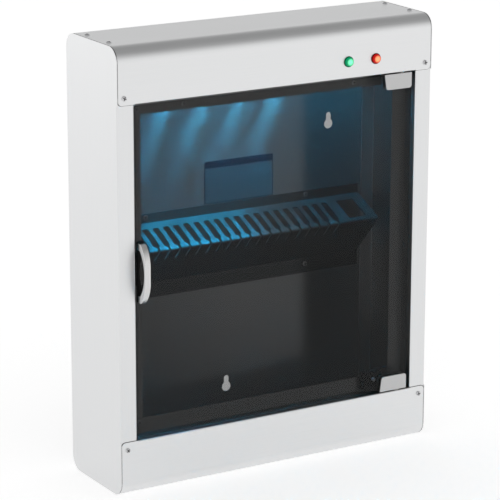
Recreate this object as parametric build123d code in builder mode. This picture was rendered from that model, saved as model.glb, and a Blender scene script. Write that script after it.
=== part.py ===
from build123d import *
from math import pi
import os

os.makedirs("parts", exist_ok=True)

# A knife sterilizer cabinet with a glass door, a lamp and a slotted rack.
# All sizes are in millimetres. The origin is the centre of the flat bottom face,
# +X points to the right, -Y to the front and +Z up.

# Cabinet body
CABINET_WIDTH = 485.0
CABINET_HEIGHT = 605.0
CABINET_DEPTH = 140.0
SHEET = 1.0               # thickness of every folded sheet
CORNER_RADIUS = 20.0      # outer bend of the four long corners
SMALL_BEND = 2.0          # outer bend of the stiles and returns
STOP_BEND = 0.3           # sharp fold between a side return and its stop
COVER_GAP = 0.6           # seam between a cover's end and the side panel
PANEL_GAP = 0.5           # seam between the back panel and the covers
STILE_WIDTH = 25.0
HEADER_HEIGHT = 75.0
FOOTER_HEIGHT = 76.0
COVER_CORNER = 5.5        # rounded outer corners of the header and footer
REVEAL_DEPTH = 24.0       # from the front face back to the door stop
STOP_WIDTH_SIDE = 22.0
STOP_WIDTH_TOP = 20.0
STOP_WIDTH_BOTTOM = 21.0
REAR_FLANGE_WIDTH = 21.0
TOP_REAR_FLANGE = 50.0    # height of the top cover's rear face
BOTTOM_REAR_FLANGE = 50.0
TAB_LENGTH = 90.0         # tabs that carry the covers on the side panels

# Screws with pan heads
SCREW_HEAD_RADIUS = 3.4
SCREW_HEAD_HEIGHT = 1.8
SCREW_SHANK_RADIUS = 1.9
SCREW_HOLE_RADIUS = 2.0
CROSS_WIDTH = 0.9
CROSS_LENGTH = 4.2
CROSS_DEPTH = 1.1
SCREW_INSET = 10.5        # from the cabinet's side to a cover screw
HEADER_SCREW_RISE = 9.3   # above the header's lower edge
FOOTER_SCREW_DROP = 11.0  # below the footer's upper edge
TOP_SCREW_SPACING = 60.0
STOP_SCREW_INSET = 6.0    # from the side stop's inner edge
STOP_SCREW_DROP = 12.0
STOP_SCREW_RISE = 16.0
GUARD_SCREW_INSET = 62.0  # from the guard's end to its front screw

# Keyholes for hanging the cabinet
KEYHOLE_RADIUS = 7.0
KEYHOLE_SLOT_WIDTH = 8.0
KEYHOLE_RISE = 16.5       # from the round hole's centre to the slot's top
KEYHOLE_INSET = 76.5      # from the cabinet's side to an upper keyhole
UPPER_KEYHOLE_DROP = 95.0 # below the opening's upper edge
LOWER_KEYHOLE_DROP = 1.0  # below the opening's lower edge

# Knife rack
RACK_INSET = 26.5         # from the cabinet's side to the rack's end
RACK_FRONT = 54.5         # from the back panel to the front fold
RACK_FOLD_RISE = 1.0      # front fold above the door opening's middle
RACK_TOP_RISE = 26.0      # where the upper plate meets the back panel, above that middle
RACK_LOW_DROP = 57.5      # where the lower plate meets the back panel, below it
RACK_TOP_FLANGE = 14.0
RACK_LOW_FLANGE = 22.0
RACK_BEND = 2.0
SLOT_COUNT = 20
SLOT_MARGIN = 13.0        # from the row of slots to the wide opening beside it
SLOT_WIDTH = 9.4
SLIT_WIDTH = 3.6
SLOT_BACK_STRIP = 12.0    # solid strip behind the slots
SLOT_WIDE_LENGTH = 36.0
SLOT_CORNER = 2.5
SLIT_LOWER_REACH = 15.0   # how far back the slits run on the lower plate
SIDE_OPENING_WIDTH = 28.0
SIDE_OPENING_INSET = 16.0 # from the rack's end
RACK_SCREW_INSET = 88.0   # from the rack's end to its screws
RACK_SCREW_UP = 9.0
CARD_THICKNESS = 0.3
CARD_WIDTH = 110.0
CARD_HEIGHT = 60.0
CARD_X = 20.0
CARD_LIFT = 0.5           # above the rack's upper flange

# Door and its hinges
GLASS = 5.0
GLASS_SETBACK = 3.0       # glass front behind the cabinet front
GLASS_GAP_LEFT = 3.5
GLASS_GAP_RIGHT = 5.0
GLASS_GAP_HIGH = 3.0      # above and below the glass
GLASS_CORNER = 3.0
PIVOT_FROM_OPENING = 21.0 # pivot axis to the right stile's edge
CLAMP_LEFT = 29.5         # clamp's left end from the pivot
CLAMP_RIGHT = 14.5
CLAMP_SLANT = 3.0
CLAMP_HEIGHT = 21.5
CLAMP_PLATE = 2.2
CLAMP_BRIDGE = 1.5
CLAMP_CORNER = 4.0
GASKET = 0.5
CLAMP_BACK_PLATE = 2.8
CLAMP_GLASS_CLEARANCE = 0.1
SET_SCREW_RADIUS = 2.5
SET_SCREW_SPREAD = 11.0
PIN_RADIUS = 2.0
PIN_CLEARANCE = 0.05
BUSH_RADIUS = 3.0
BUSH_FLANGE_RADIUS = 4.5
BUSH_FLANGE = 0.8
BUSH_LENGTH = 2.3
PIN_LENGTH = 4.6

# Handle
HANDLE_INSET = 3.5        # from the glass edge to the middle of the bow
HANDLE_WIDTH = 8.5
HANDLE_RISE = 3.5         # above the door opening's middle
HANDLE_LENGTH = 80.0
HANDLE_STRAIGHT = 20.0    # straight middle of the bow's outer face
HANDLE_THICKNESS = 3.0
HANDLE_REACH = 20.5       # bow's outermost point in front of the cabinet front
HANDLE_END_REACH = 8.0
HANDLE_FOOT = 9.0
BASE_LEFT_OVERHANG = 3.8
BASE_LENGTH = 83.0
BASE_RIM = 2.8
BASE_CORNER = 2.0

# Catch on the left side
CATCH_LENGTH = 40.0
CATCH_WIDTH = 14.0
CATCH_FLANGE_INSET = 4.0
STRIKE_THICKNESS = 1.0
CATCH_AIR = 0.4
CATCH_MAGNET_DEPTH = 2.0
CATCH_MAGNET_MARGIN = 2.5

# Door switch on the lower stop
DOOR_SWITCH_OFFSET = 33.5 # from the pivot axis
DOOR_SWITCH_WIDTH = 28.0
DOOR_SWITCH_HEIGHT = 26.0
DOOR_SWITCH_DEPTH = 11.0
DOOR_SWITCH_RISE = 2.3    # above the opening's lower edge
PLUNGER_RADIUS = 2.4
PLUNGER_CLEARANCE = 0.1
PLUNGER_AIR = 0.4
PLUNGER_BORE_DEPTH = 8.0
PLUNGER_TRAVEL = 2.0

# Push buttons
BUTTON_RISE = 23.0        # above the opening's upper edge
GREEN_BUTTON_INSET = 134.5
RED_BUTTON_INSET = 91.0
BEZEL_LIP = 0.4           # bezel beyond its barrel
BEZEL_HEIGHT = 1.2
BARREL_WALL = 0.7
BARREL_LENGTH = 20.0
BARREL_CLEARANCE = 0.1
CAP_RADIUS = 6.2
CAP_CLEARANCE = 0.1
CAP_REACH = 5.0           # cap's front face before the header
CAP_ROUNDING = 2.8
CAP_LENGTH = 9.0
BUTTON_TRAVEL = 2.5
NUT_RADIUS = 11.0
NUT_THICKNESS = 3.0
SWITCH_BLOCK = 14.0
SWITCH_BLOCK_LENGTH = 16.0
TERMINAL_SPREAD = 3.0
TERMINAL_LENGTH = 4.0
TERMINAL_SIZE = 2.4

# Lamp compartment above the ceiling
GUARD_GAP = 1.5           # between the guard's end and the side stop's edge
GUARD_LIP = 19.0
GUARD_REAR = 35.0
WINDOW_COUNT = 5
WINDOW_PITCH = 60.0
WINDOW_WIDTH = 13.0
WINDOW_LENGTH = 60.0
GUARD_HOLE_RADIUS = 3.0
TRAY_RISE = 41.0          # top face of the gear tray above the ceiling
TRAY_FRONT = -14.0
TRAY_BACK = 50.0
TRAY_FLANGE = 19.0
TUBE_RADIUS = 13.0
TUBE_WALL = 1.0
TUBE_INSET = 23.0         # from the side panel to the tube's end
TUBE_RISE = 20.0          # axis above the ceiling
END_CAP_LENGTH = 20.0
END_CAP_WALL = 0.5
TUBE_PIN_RADIUS = 1.2
TUBE_PIN_LENGTH = 7.0
TUBE_PIN_SPREAD = 6.35
SOCKET_GAP = 0.5          # between the tube's end and its socket
SOCKET_INSET = 2.5        # from the side panel to the socket
SOCKET_WIDTH = 24.0
SOCKET_DROP = 36.0
NECK_WIDTH = 8.0
NECK_LENGTH = 12.0
NECK_RISE = 6.0
NECK_CLEARANCE = 0.2
BALLAST_LENGTH = 150.0
BALLAST_TO_STARTER = 15.0
BALLAST_Y = (5.0, 45.0)
BALLAST_HEIGHT = 28.0
BALLAST_FOOT = 10.0
BALLAST_FOOT_SHEET = 1.5
STARTER_LENGTH = 40.0
STARTER_TO_TERMINAL = 30.0
STARTER_RADIUS = 10.5
STARTER_LIFT = 1.0
STARTER_HOLDER = 10.0
TERMINAL_MARGIN = 15.0    # terminal block beyond the buttons' centres
TERMINAL_Y = (22.0, 40.0)
TERMINAL_HEIGHT = 18.0
LEAD_RADIUS = 1.0
LEAD_BEND = 4.0
LEAD_HIGH = 8.0           # above the tray
LEAD_LOW = 3.0
LEAD_INSET = 5.0          # from an electrical part's side to its lead

# Cord bush in the right side panel
CORD_BUSH_Y = 35.0
CORD_BUSH_DROP = 17.0     # below the cabinet's top
CORD_BUSH_RADIUS = 7.0
CORD_BUSH_FLANGE_RADIUS = 9.5
CORD_BUSH_FLANGE = 4.0
CORD_BUSH_INSIDE = 10.0
CORD_BORE_RADIUS = 3.5

# Positions that follow from the sizes above
HALF_WIDTH = CABINET_WIDTH / 2
FRONT = -CABINET_DEPTH / 2
BACK = CABINET_DEPTH / 2
COVER_HALF = HALF_WIDTH - SHEET - COVER_GAP
OPENING_HALF = HALF_WIDTH - STILE_WIDTH
OPENING_TOP = CABINET_HEIGHT - HEADER_HEIGHT
OPENING_BOTTOM = FOOTER_HEIGHT
STILE_FACE = FRONT + SHEET
COVER_STOP = FRONT + REVEAL_DEPTH
SIDE_STOP = COVER_STOP + SHEET
STRIP_BOTTOM = CORNER_RADIUS + 5.0
STRIP_TOP = CABINET_HEIGHT - STRIP_BOTTOM
INNER_HALF = HALF_WIDTH - SHEET
BACK_INSIDE = BACK - SHEET
SCREW_X = HALF_WIDTH - SCREW_INSET
HEADER_SCREW_Z = OPENING_TOP + HEADER_SCREW_RISE
FOOTER_SCREW_Z = OPENING_BOTTOM - FOOTER_SCREW_DROP
STOP_SCREW_X = OPENING_HALF - STOP_WIDTH_SIDE + STOP_SCREW_INSET
STOP_SCREW_HIGH_Z = OPENING_TOP - STOP_SCREW_DROP
STOP_SCREW_LOW_Z = OPENING_BOTTOM + STOP_SCREW_RISE
GLASS_FRONT = FRONT + GLASS_SETBACK
GLASS_BACK = GLASS_FRONT + GLASS
GLASS_LEFT = -OPENING_HALF + GLASS_GAP_LEFT
GLASS_RIGHT = OPENING_HALF - GLASS_GAP_RIGHT
GLASS_BOTTOM = OPENING_BOTTOM + GLASS_GAP_HIGH
GLASS_TOP = OPENING_TOP - GLASS_GAP_HIGH
PIVOT_X = OPENING_HALF - PIVOT_FROM_OPENING
PIVOT_Y = (GLASS_FRONT + GLASS_BACK) / 2
OPENING_MIDDLE = (OPENING_TOP + OPENING_BOTTOM) / 2
RACK_FOLD_Y = BACK_INSIDE - RACK_FRONT
RACK_HALF = HALF_WIDTH - RACK_INSET
RACK_FOLD_Z = OPENING_MIDDLE + RACK_FOLD_RISE
RACK_TOP_Z = OPENING_MIDDLE + RACK_TOP_RISE
RACK_LOW_Z = OPENING_MIDDLE - RACK_LOW_DROP
RACK_SCREW_X = RACK_HALF - RACK_SCREW_INSET
SIDE_OPENING_END = RACK_HALF - SIDE_OPENING_INSET
SIDE_OPENING_START = SIDE_OPENING_END - SIDE_OPENING_WIDTH
SLOT_PITCH = 2 * (SIDE_OPENING_START - SLOT_MARGIN) / SLOT_COUNT
CARD_Z = RACK_TOP_Z + RACK_TOP_FLANGE + CARD_LIFT + CARD_HEIGHT / 2
KEYHOLE_X = HALF_WIDTH - KEYHOLE_INSET
UPPER_KEYHOLE_Z = OPENING_TOP - UPPER_KEYHOLE_DROP
LOWER_KEYHOLE_Z = OPENING_BOTTOM - LOWER_KEYHOLE_DROP
HANDLE_X = GLASS_LEFT + HANDLE_INSET
HANDLE_Z = OPENING_MIDDLE + HANDLE_RISE
DOOR_SWITCH_X = PIVOT_X - DOOR_SWITCH_OFFSET
BUTTON_Z = OPENING_TOP + BUTTON_RISE
BARREL_RADIUS = CAP_RADIUS + CAP_CLEARANCE + BARREL_WALL
BEZEL_RADIUS = BARREL_RADIUS + BEZEL_LIP
GREEN_BUTTON_X = HALF_WIDTH - GREEN_BUTTON_INSET
RED_BUTTON_X = HALF_WIDTH - RED_BUTTON_INSET
CEILING_Z = OPENING_TOP
GUARD_HALF = OPENING_HALF - STOP_WIDTH_SIDE - GUARD_GAP
GUARD_SCREW_X = GUARD_HALF - GUARD_SCREW_INSET
TRAY_Z = CEILING_Z + TRAY_RISE
TRAY_UNDER = TRAY_Z - SHEET
TUBE_HALF = INNER_HALF - TUBE_INSET
TUBE_Z = CEILING_Z + TUBE_RISE
SOCKET_START = TUBE_HALF + SOCKET_GAP
SOCKET_END = INNER_HALF - SOCKET_INSET
TERMINAL_X = (GREEN_BUTTON_X - TERMINAL_MARGIN, RED_BUTTON_X + TERMINAL_MARGIN)
STARTER_END = TERMINAL_X[0] - STARTER_TO_TERMINAL
STARTER_X = (STARTER_END - STARTER_LENGTH, STARTER_END)
BALLAST_END = STARTER_X[0] - BALLAST_TO_STARTER
BALLAST_X = (BALLAST_END - BALLAST_LENGTH, BALLAST_END)
CORD_BUSH_Z = CABINET_HEIGHT - CORD_BUSH_DROP


def block(x, y, z, mode=Mode.ADD):
    """A box between two X, two Y and two Z values."""
    centre = (sum(x) / 2, sum(y) / 2, sum(z) / 2)
    with Locations(centre):
        Box(x[1] - x[0], y[1] - y[0], z[1] - z[0], mode=mode)


def rod(origin, direction, radius, length, mode=Mode.ADD):
    """A cylinder that starts at a point and runs along a direction."""
    with Locations(Plane(origin=origin, z_dir=direction)):
        Cylinder(radius, length, align=(Align.CENTER, Align.CENTER, Align.MIN), mode=mode)


def drill(points, direction, radius, length):
    """The same hole at several points."""
    for point in points:
        rod(point, direction, radius, length, Mode.SUBTRACT)


def bent_sheet(plane, points, radii, amount, side):
    """A folded sheet: points run along one face and the sheet lies on the given side of them."""
    with BuildPart() as sheet:
        with BuildSketch(plane):
            with BuildLine():
                FilletPolyline(*points, radius=radii)
                offset(amount=SHEET, side=side)
            make_face()
        extrude(amount=amount)
    return sheet.part


def pan_screw(length):
    """A screw with a rounded pan head and a cross recess; its seat is at Z = 0."""
    with BuildPart() as screw:
        Cylinder(SCREW_HEAD_RADIUS, SCREW_HEAD_HEIGHT, align=(Align.CENTER, Align.CENTER, Align.MIN))
        fillet(screw.edges().sort_by(Axis.Z)[-1], SCREW_HEAD_HEIGHT * 0.6)
        Cylinder(SCREW_SHANK_RADIUS, length, align=(Align.CENTER, Align.CENTER, Align.MAX))
        with Locations((0, 0, SCREW_HEAD_HEIGHT)):
            depth = CROSS_DEPTH
            sunk = (Align.CENTER, Align.CENTER, Align.MAX)
            Box(CROSS_LENGTH, CROSS_WIDTH, depth, align=sunk, mode=Mode.SUBTRACT)
            Box(CROSS_WIDTH, CROSS_LENGTH, depth, align=sunk, mode=Mode.SUBTRACT)
    return screw.part


def lead(points, bend):
    """A round insulated lead along straight runs joined by tangent bends."""
    with BuildPart() as wire:
        with BuildLine() as route:
            if len(points) > 2:
                FilletPolyline(*points, radius=[bend] * (len(points) - 2))
            else:
                Line(*points)
        with BuildSketch(Plane(origin=route.line @ 0, z_dir=route.line % 0)):
            Circle(LEAD_RADIUS)
        sweep()
    expected = pi * LEAD_RADIUS ** 2 * sum(edge.length for edge in route.edges())
    print("lead volume over section times length", round(wire.part.volume / expected, 4))
    return wire.part


def save(piece, name):
    """Names a finished piece and writes it out."""
    piece.part.label = name
    export_step(piece.part, "parts/" + name + ".step")
    print(name, len(piece.part.solids()), "solid(s)", round(piece.part.volume))


# Side panels: rounded web, stile, return and door stop folded from one sheet
def side_panel():
    """The right side panel; the left one is its mirror image."""
    strip_points = [
        (HALF_WIDTH - REAR_FLANGE_WIDTH, BACK_INSIDE),
        (HALF_WIDTH, BACK_INSIDE),
        (HALF_WIDTH, STILE_FACE),
        (OPENING_HALF, STILE_FACE),
        (OPENING_HALF, SIDE_STOP),
        (OPENING_HALF - STOP_WIDTH_SIDE, SIDE_STOP),
    ]
    strip_plane = Plane.XY.offset(STRIP_BOTTOM)
    strip_radii = [SMALL_BEND, SMALL_BEND, SMALL_BEND, STOP_BEND]
    strip = bent_sheet(strip_plane, strip_points, strip_radii, STRIP_TOP - STRIP_BOTTOM, Side.RIGHT)
    tab_x = (HALF_WIDTH - REAR_FLANGE_WIDTH, HALF_WIDTH - SHEET / 2)
    tab_y = (-TAB_LENGTH / 2, TAB_LENGTH / 2)
    with BuildPart() as panel:
        with BuildSketch(Plane.YZ.offset(INNER_HALF)):
            with Locations((0, CABINET_HEIGHT / 2)):
                RectangleRounded(CABINET_DEPTH, CABINET_HEIGHT, CORNER_RADIUS)
        extrude(amount=SHEET)
        notch_y = (FRONT - SHEET, STILE_FACE + SMALL_BEND + SHEET)
        block((INNER_HALF - SHEET, HALF_WIDTH + SHEET), notch_y, (OPENING_BOTTOM, OPENING_TOP), Mode.SUBTRACT)
        add(strip)
        block(tab_x, tab_y, (CABINET_HEIGHT - 2 * SHEET, CABINET_HEIGHT - SHEET))
        block(tab_x, tab_y, (SHEET, 2 * SHEET))
        stile_holes = [(SCREW_X, STILE_FACE - SHEET, screw_z) for screw_z in (HEADER_SCREW_Z, FOOTER_SCREW_Z)]
        drill(stile_holes, (0, 1, 0), SCREW_HOLE_RADIUS, 3 * SHEET)
        stop_heights = (STOP_SCREW_HIGH_Z, STOP_SCREW_LOW_Z)
        stop_holes = [(STOP_SCREW_X, SIDE_STOP - SHEET, screw_z) for screw_z in stop_heights]
        drill(stop_holes, (0, 1, 0), SCREW_HOLE_RADIUS, 3 * SHEET)
        tab_holes = [(SCREW_X, y, CABINET_HEIGHT) for y in (-TOP_SCREW_SPACING / 2, TOP_SCREW_SPACING / 2)]
        drill(tab_holes, (0, 0, -1), SCREW_HOLE_RADIUS, 3 * SHEET)
    return panel.part


right_side = side_panel()

with BuildPart() as side_panel_right:
    add(right_side)
    cord_hole = (HALF_WIDTH + SHEET, CORD_BUSH_Y, CORD_BUSH_Z)
    rod(cord_hole, (-1, 0, 0), CORD_BUSH_RADIUS, 3 * SHEET, Mode.SUBTRACT)
save(side_panel_right, "side_panel_right")

with BuildPart() as side_panel_left:
    add(right_side.mirror(Plane.YZ))
save(side_panel_left, "side_panel_left")


# Top and bottom covers: front band, rounded corners, flat plate and rear flange
def cover(outer_points, inner_points, side, opening_z, corner_at):
    """One cover: the full-width band plus the return and stop between the stiles."""
    return_half = OPENING_HALF - COVER_GAP
    outer_radii = [CORNER_RADIUS, CORNER_RADIUS]
    inner_radii = [SMALL_BEND, SMALL_BEND, CORNER_RADIUS, CORNER_RADIUS]
    middle = bent_sheet(Plane.YZ.offset(-return_half), inner_points, inner_radii, 2 * return_half, side)
    end_length = COVER_HALF - return_half
    ends = []
    for start in (-COVER_HALF, return_half):
        ends.append(bent_sheet(Plane.YZ.offset(start), outer_points, outer_radii, end_length, side))
    with BuildPart() as result:
        add(middle)
        add(ends[0])
        add(ends[1])
        corner_edges = result.edges().filter_by(Axis.Y).filter_by(
            lambda edge: abs(edge.center().Z - opening_z) < 0.01
            and abs(abs(edge.center().X) - COVER_HALF) < 0.01
            and edge.center().Y < FRONT + SHEET
        )
        fillet(corner_edges, COVER_CORNER)
        cover_holes = [(x, FRONT - SHEET, corner_at) for x in (-SCREW_X, SCREW_X)]
        drill(cover_holes, (0, 1, 0), SCREW_HOLE_RADIUS, 3 * SHEET)
    return result.part


TOP_OUTER = [
    (FRONT, OPENING_TOP),
    (FRONT, CABINET_HEIGHT),
    (BACK, CABINET_HEIGHT),
    (BACK, CABINET_HEIGHT - TOP_REAR_FLANGE),
]
TOP_INNER = [(COVER_STOP, OPENING_TOP - STOP_WIDTH_TOP), (COVER_STOP, OPENING_TOP)] + TOP_OUTER
BOTTOM_OUTER = [(FRONT, OPENING_BOTTOM), (FRONT, 0), (BACK, 0), (BACK, BOTTOM_REAR_FLANGE)]
BOTTOM_INNER = [(COVER_STOP, OPENING_BOTTOM + STOP_WIDTH_BOTTOM), (COVER_STOP, OPENING_BOTTOM)] + BOTTOM_OUTER

top_shell = cover(TOP_OUTER, TOP_INNER, Side.RIGHT, OPENING_TOP, HEADER_SCREW_Z)
bottom_shell = cover(BOTTOM_OUTER, BOTTOM_INNER, Side.LEFT, OPENING_BOTTOM, FOOTER_SCREW_Z)

with BuildPart() as top_cover:
    add(top_shell)
    plate_holes = []
    for screw_x in (-SCREW_X, SCREW_X):
        for screw_y in (-TOP_SCREW_SPACING / 2, TOP_SCREW_SPACING / 2):
            plate_holes.append((screw_x, screw_y, CABINET_HEIGHT + SHEET))
    drill(plate_holes, (0, 0, -1), SCREW_HOLE_RADIUS, 3 * SHEET)
    stop_screws_x = (-STOP_SCREW_X, -GUARD_SCREW_X, GUARD_SCREW_X, STOP_SCREW_X)
    stop_holes = [(x, COVER_STOP - SHEET, STOP_SCREW_HIGH_Z) for x in stop_screws_x]
    drill(stop_holes, (0, 1, 0), SCREW_HOLE_RADIUS, 3 * SHEET)
    button_holes = [(x, FRONT - SHEET, BUTTON_Z) for x in (GREEN_BUTTON_X, RED_BUTTON_X)]
    drill(button_holes, (0, 1, 0), BARREL_RADIUS + BARREL_CLEARANCE, 3 * SHEET)
    rod((PIVOT_X, PIVOT_Y, OPENING_TOP - SHEET), (0, 0, 1), BUSH_RADIUS, 3 * SHEET, Mode.SUBTRACT)
save(top_cover, "top_cover")

with BuildPart() as bottom_cover:
    add(bottom_shell)
    stop_holes = [(x, COVER_STOP - SHEET, STOP_SCREW_LOW_Z) for x in (-STOP_SCREW_X, STOP_SCREW_X)]
    drill(stop_holes, (0, 1, 0), SCREW_HOLE_RADIUS, 3 * SHEET)
    rod((PIVOT_X, PIVOT_Y, OPENING_BOTTOM + SHEET), (0, 0, -1), BUSH_RADIUS, 3 * SHEET, Mode.SUBTRACT)
save(bottom_cover, "bottom_cover")

# Back panel with three keyholes
RACK_SCREW_Z = (RACK_TOP_Z + RACK_SCREW_UP, RACK_LOW_Z - RACK_SCREW_UP)
RACK_SCREW_POINTS = [(x, z) for x in (-RACK_SCREW_X, RACK_SCREW_X) for z in RACK_SCREW_Z]
KEYHOLES = [
    (-KEYHOLE_X, UPPER_KEYHOLE_Z),
    (KEYHOLE_X, UPPER_KEYHOLE_Z),
    (0, LOWER_KEYHOLE_Z),
]

with BuildPart() as back_panel:
    panel_bottom = BOTTOM_REAR_FLANGE + PANEL_GAP
    panel_top = CABINET_HEIGHT - TOP_REAR_FLANGE - PANEL_GAP
    block((-COVER_HALF, COVER_HALF), (BACK_INSIDE, BACK), (panel_bottom, panel_top))
    for key_x, key_z in KEYHOLES:
        rod((key_x, BACK_INSIDE - SHEET, key_z), (0, 1, 0), KEYHOLE_RADIUS, 3 * SHEET, Mode.SUBTRACT)
        slot_half = KEYHOLE_SLOT_WIDTH / 2
        slot_end = key_z + KEYHOLE_RISE - slot_half
        slot_x = (key_x - slot_half, key_x + slot_half)
        block(slot_x, (BACK_INSIDE - SHEET, BACK + SHEET), (key_z, slot_end), Mode.SUBTRACT)
        rod((key_x, BACK_INSIDE - SHEET, slot_end), (0, 1, 0), slot_half, 3 * SHEET, Mode.SUBTRACT)
    panel_holes = [(x, BACK_INSIDE - SHEET, z) for x, z in RACK_SCREW_POINTS]
    drill(panel_holes, (0, 1, 0), SCREW_HOLE_RADIUS, 3 * SHEET)
save(back_panel, "back_panel")

with BuildPart() as label_card:
    card_y = (BACK_INSIDE - CARD_THICKNESS, BACK_INSIDE)
    card_x = (CARD_X - CARD_WIDTH / 2, CARD_X + CARD_WIDTH / 2)
    card_z = (CARD_Z - CARD_HEIGHT / 2, CARD_Z + CARD_HEIGHT / 2)
    block(card_x, card_y, card_z)
    fillet(label_card.edges().filter_by(Axis.Y), 2.0)
save(label_card, "label_card")

# Knife rack: two plates folded to a V, with slots in the upper plate
rack_points = [
    (BACK_INSIDE, RACK_TOP_Z + RACK_TOP_FLANGE),
    (BACK_INSIDE, RACK_TOP_Z),
    (RACK_FOLD_Y, RACK_FOLD_Z),
    (BACK_INSIDE, RACK_LOW_Z),
    (BACK_INSIDE, RACK_LOW_Z - RACK_LOW_FLANGE),
]
rack_sheet = bent_sheet(Plane.YZ.offset(-RACK_HALF), rack_points, RACK_BEND, 2 * RACK_HALF, Side.RIGHT)
SLOT_BACK_Y = BACK_INSIDE - SLOT_BACK_STRIP
SLOT_FRONT_Y = SLOT_BACK_Y - SLOT_WIDE_LENGTH
UPPER_SLOPE = (RACK_TOP_Z - RACK_FOLD_Z) / RACK_FRONT
LOWER_SLOPE = (RACK_FOLD_Z - RACK_LOW_Z) / RACK_FRONT
SLOT_LOW_Z = RACK_FOLD_Z - 2 * SHEET
SLOT_HIGH_Z = RACK_TOP_Z + 4 * SHEET
SLIT_LOW_Z = RACK_FOLD_Z - LOWER_SLOPE * (SLIT_LOWER_REACH + 3 * SHEET) - 2 * SHEET

with BuildPart() as knife_rack:
    add(rack_sheet)
    with BuildSketch(Plane((0, (SLOT_FRONT_Y + SLOT_BACK_Y) / 2, SLOT_LOW_Z))):
        with GridLocations(SLOT_PITCH, SLOT_WIDE_LENGTH, SLOT_COUNT, 1):
            RectangleRounded(SLOT_WIDTH, SLOT_WIDE_LENGTH, SLOT_CORNER)
    extrude(amount=SLOT_HIGH_Z - SLOT_LOW_Z, mode=Mode.SUBTRACT)
    slit_y = (RACK_FOLD_Y - 3 * SHEET, RACK_FOLD_Y + SLIT_LOWER_REACH)
    for index in range(SLOT_COUNT):
        slot_x = (index - (SLOT_COUNT - 1) / 2) * SLOT_PITCH
        slit_x = (slot_x - SLIT_WIDTH / 2, slot_x + SLIT_WIDTH / 2)
        block(slit_x, slit_y, (SLIT_LOW_Z, SLOT_HIGH_Z), Mode.SUBTRACT)
    for sign in (-1, 1):
        ends = sorted((sign * SIDE_OPENING_START, sign * SIDE_OPENING_END))
        block(ends, (SLOT_FRONT_Y, SLOT_BACK_Y), (SLOT_LOW_Z, SLOT_HIGH_Z), Mode.SUBTRACT)
    rack_holes = [(x, BACK_INSIDE - 2 * SHEET, z) for x, z in RACK_SCREW_POINTS]
    drill(rack_holes, (0, 1, 0), SCREW_HOLE_RADIUS, 3 * SHEET)
save(knife_rack, "knife_rack")

# Screws, each group in one file
thin_screw = pan_screw(2 * SHEET)
long_screw = pan_screw(4 * SHEET)

with BuildPart() as rack_screws:
    with Locations(*[Plane((x, BACK_INSIDE - SHEET, z), z_dir=(0, -1, 0)) for x, z in RACK_SCREW_POINTS]):
        add(thin_screw)
save(rack_screws, "rack_screws")

front_screw_planes = []
for screw_x in (-SCREW_X, SCREW_X):
    for screw_z in (HEADER_SCREW_Z, FOOTER_SCREW_Z):
        front_screw_planes.append(Plane((screw_x, FRONT, screw_z), z_dir=(0, -1, 0)))
top_screw_planes = []
for screw_x in (-SCREW_X, SCREW_X):
    for screw_y in (-TOP_SCREW_SPACING / 2, TOP_SCREW_SPACING / 2):
        top_screw_planes.append(Plane((screw_x, screw_y, CABINET_HEIGHT), z_dir=(0, 0, 1)))

with BuildPart() as cover_screws:
    with Locations(*front_screw_planes, *top_screw_planes):
        add(long_screw)
save(cover_screws, "cover_screws")

with BuildPart() as stop_screws:
    stop_planes = []
    for screw_x in (-STOP_SCREW_X, STOP_SCREW_X):
        for screw_z in (STOP_SCREW_HIGH_Z, STOP_SCREW_LOW_Z):
            stop_planes.append(Plane((screw_x, COVER_STOP, screw_z), z_dir=(0, -1, 0)))
    for screw_x in (-GUARD_SCREW_X, GUARD_SCREW_X):
        stop_planes.append(Plane((screw_x, COVER_STOP, STOP_SCREW_HIGH_Z), z_dir=(0, -1, 0)))
    with Locations(*stop_planes):
        add(thin_screw)
save(stop_screws, "stop_screws")

# Lamp guard: the cabinet's ceiling, with windows that let the light down
guard_points = [
    (SIDE_STOP, CEILING_Z - GUARD_LIP),
    (SIDE_STOP, CEILING_Z + SHEET),
    (GUARD_REAR, CEILING_Z + SHEET),
    (GUARD_REAR, TRAY_UNDER),
]
guard_sheet = bent_sheet(Plane.YZ.offset(-GUARD_HALF), guard_points, SMALL_BEND, 2 * GUARD_HALF, Side.RIGHT)

with BuildPart() as lamp_guard:
    add(guard_sheet)
    window_z = (CEILING_Z - SHEET, CEILING_Z + 2 * SHEET)
    for index in range(WINDOW_COUNT):
        window_x = (index - (WINDOW_COUNT - 1) / 2) * WINDOW_PITCH
        window_ends = (window_x - WINDOW_WIDTH / 2, window_x + WINDOW_WIDTH / 2)
        block(window_ends, (-WINDOW_LENGTH / 2, WINDOW_LENGTH / 2), window_z, Mode.SUBTRACT)
    for index in range(WINDOW_COUNT - 1):
        hole_x = (index - (WINDOW_COUNT - 2) / 2) * WINDOW_PITCH
        rod((hole_x, 0, CEILING_Z - SHEET), (0, 0, 1), GUARD_HOLE_RADIUS, 3 * SHEET, Mode.SUBTRACT)
    guard_holes = [(x, SIDE_STOP - SHEET, STOP_SCREW_HIGH_Z) for x in (-GUARD_SCREW_X, GUARD_SCREW_X)]
    drill(guard_holes, (0, 1, 0), SCREW_HOLE_RADIUS, 3 * SHEET)
save(lamp_guard, "lamp_guard")

# Gear tray between the side panels
tray_points = [
    (-INNER_HALF, TRAY_Z - TRAY_FLANGE),
    (-INNER_HALF, TRAY_Z),
    (INNER_HALF, TRAY_Z),
    (INNER_HALF, TRAY_Z - TRAY_FLANGE),
]
tray_plane = Plane.XZ.offset(-TRAY_BACK)
tray_sheet = bent_sheet(tray_plane, tray_points, SMALL_BEND, TRAY_BACK - TRAY_FRONT, Side.RIGHT)
SOCKET_X = (SOCKET_START + SOCKET_END) / 2
BALLAST_SCREW_X = (BALLAST_X[0] - BALLAST_FOOT / 2, BALLAST_X[1] + BALLAST_FOOT / 2)
BALLAST_MIDDLE_Y = sum(BALLAST_Y) / 2

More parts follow.
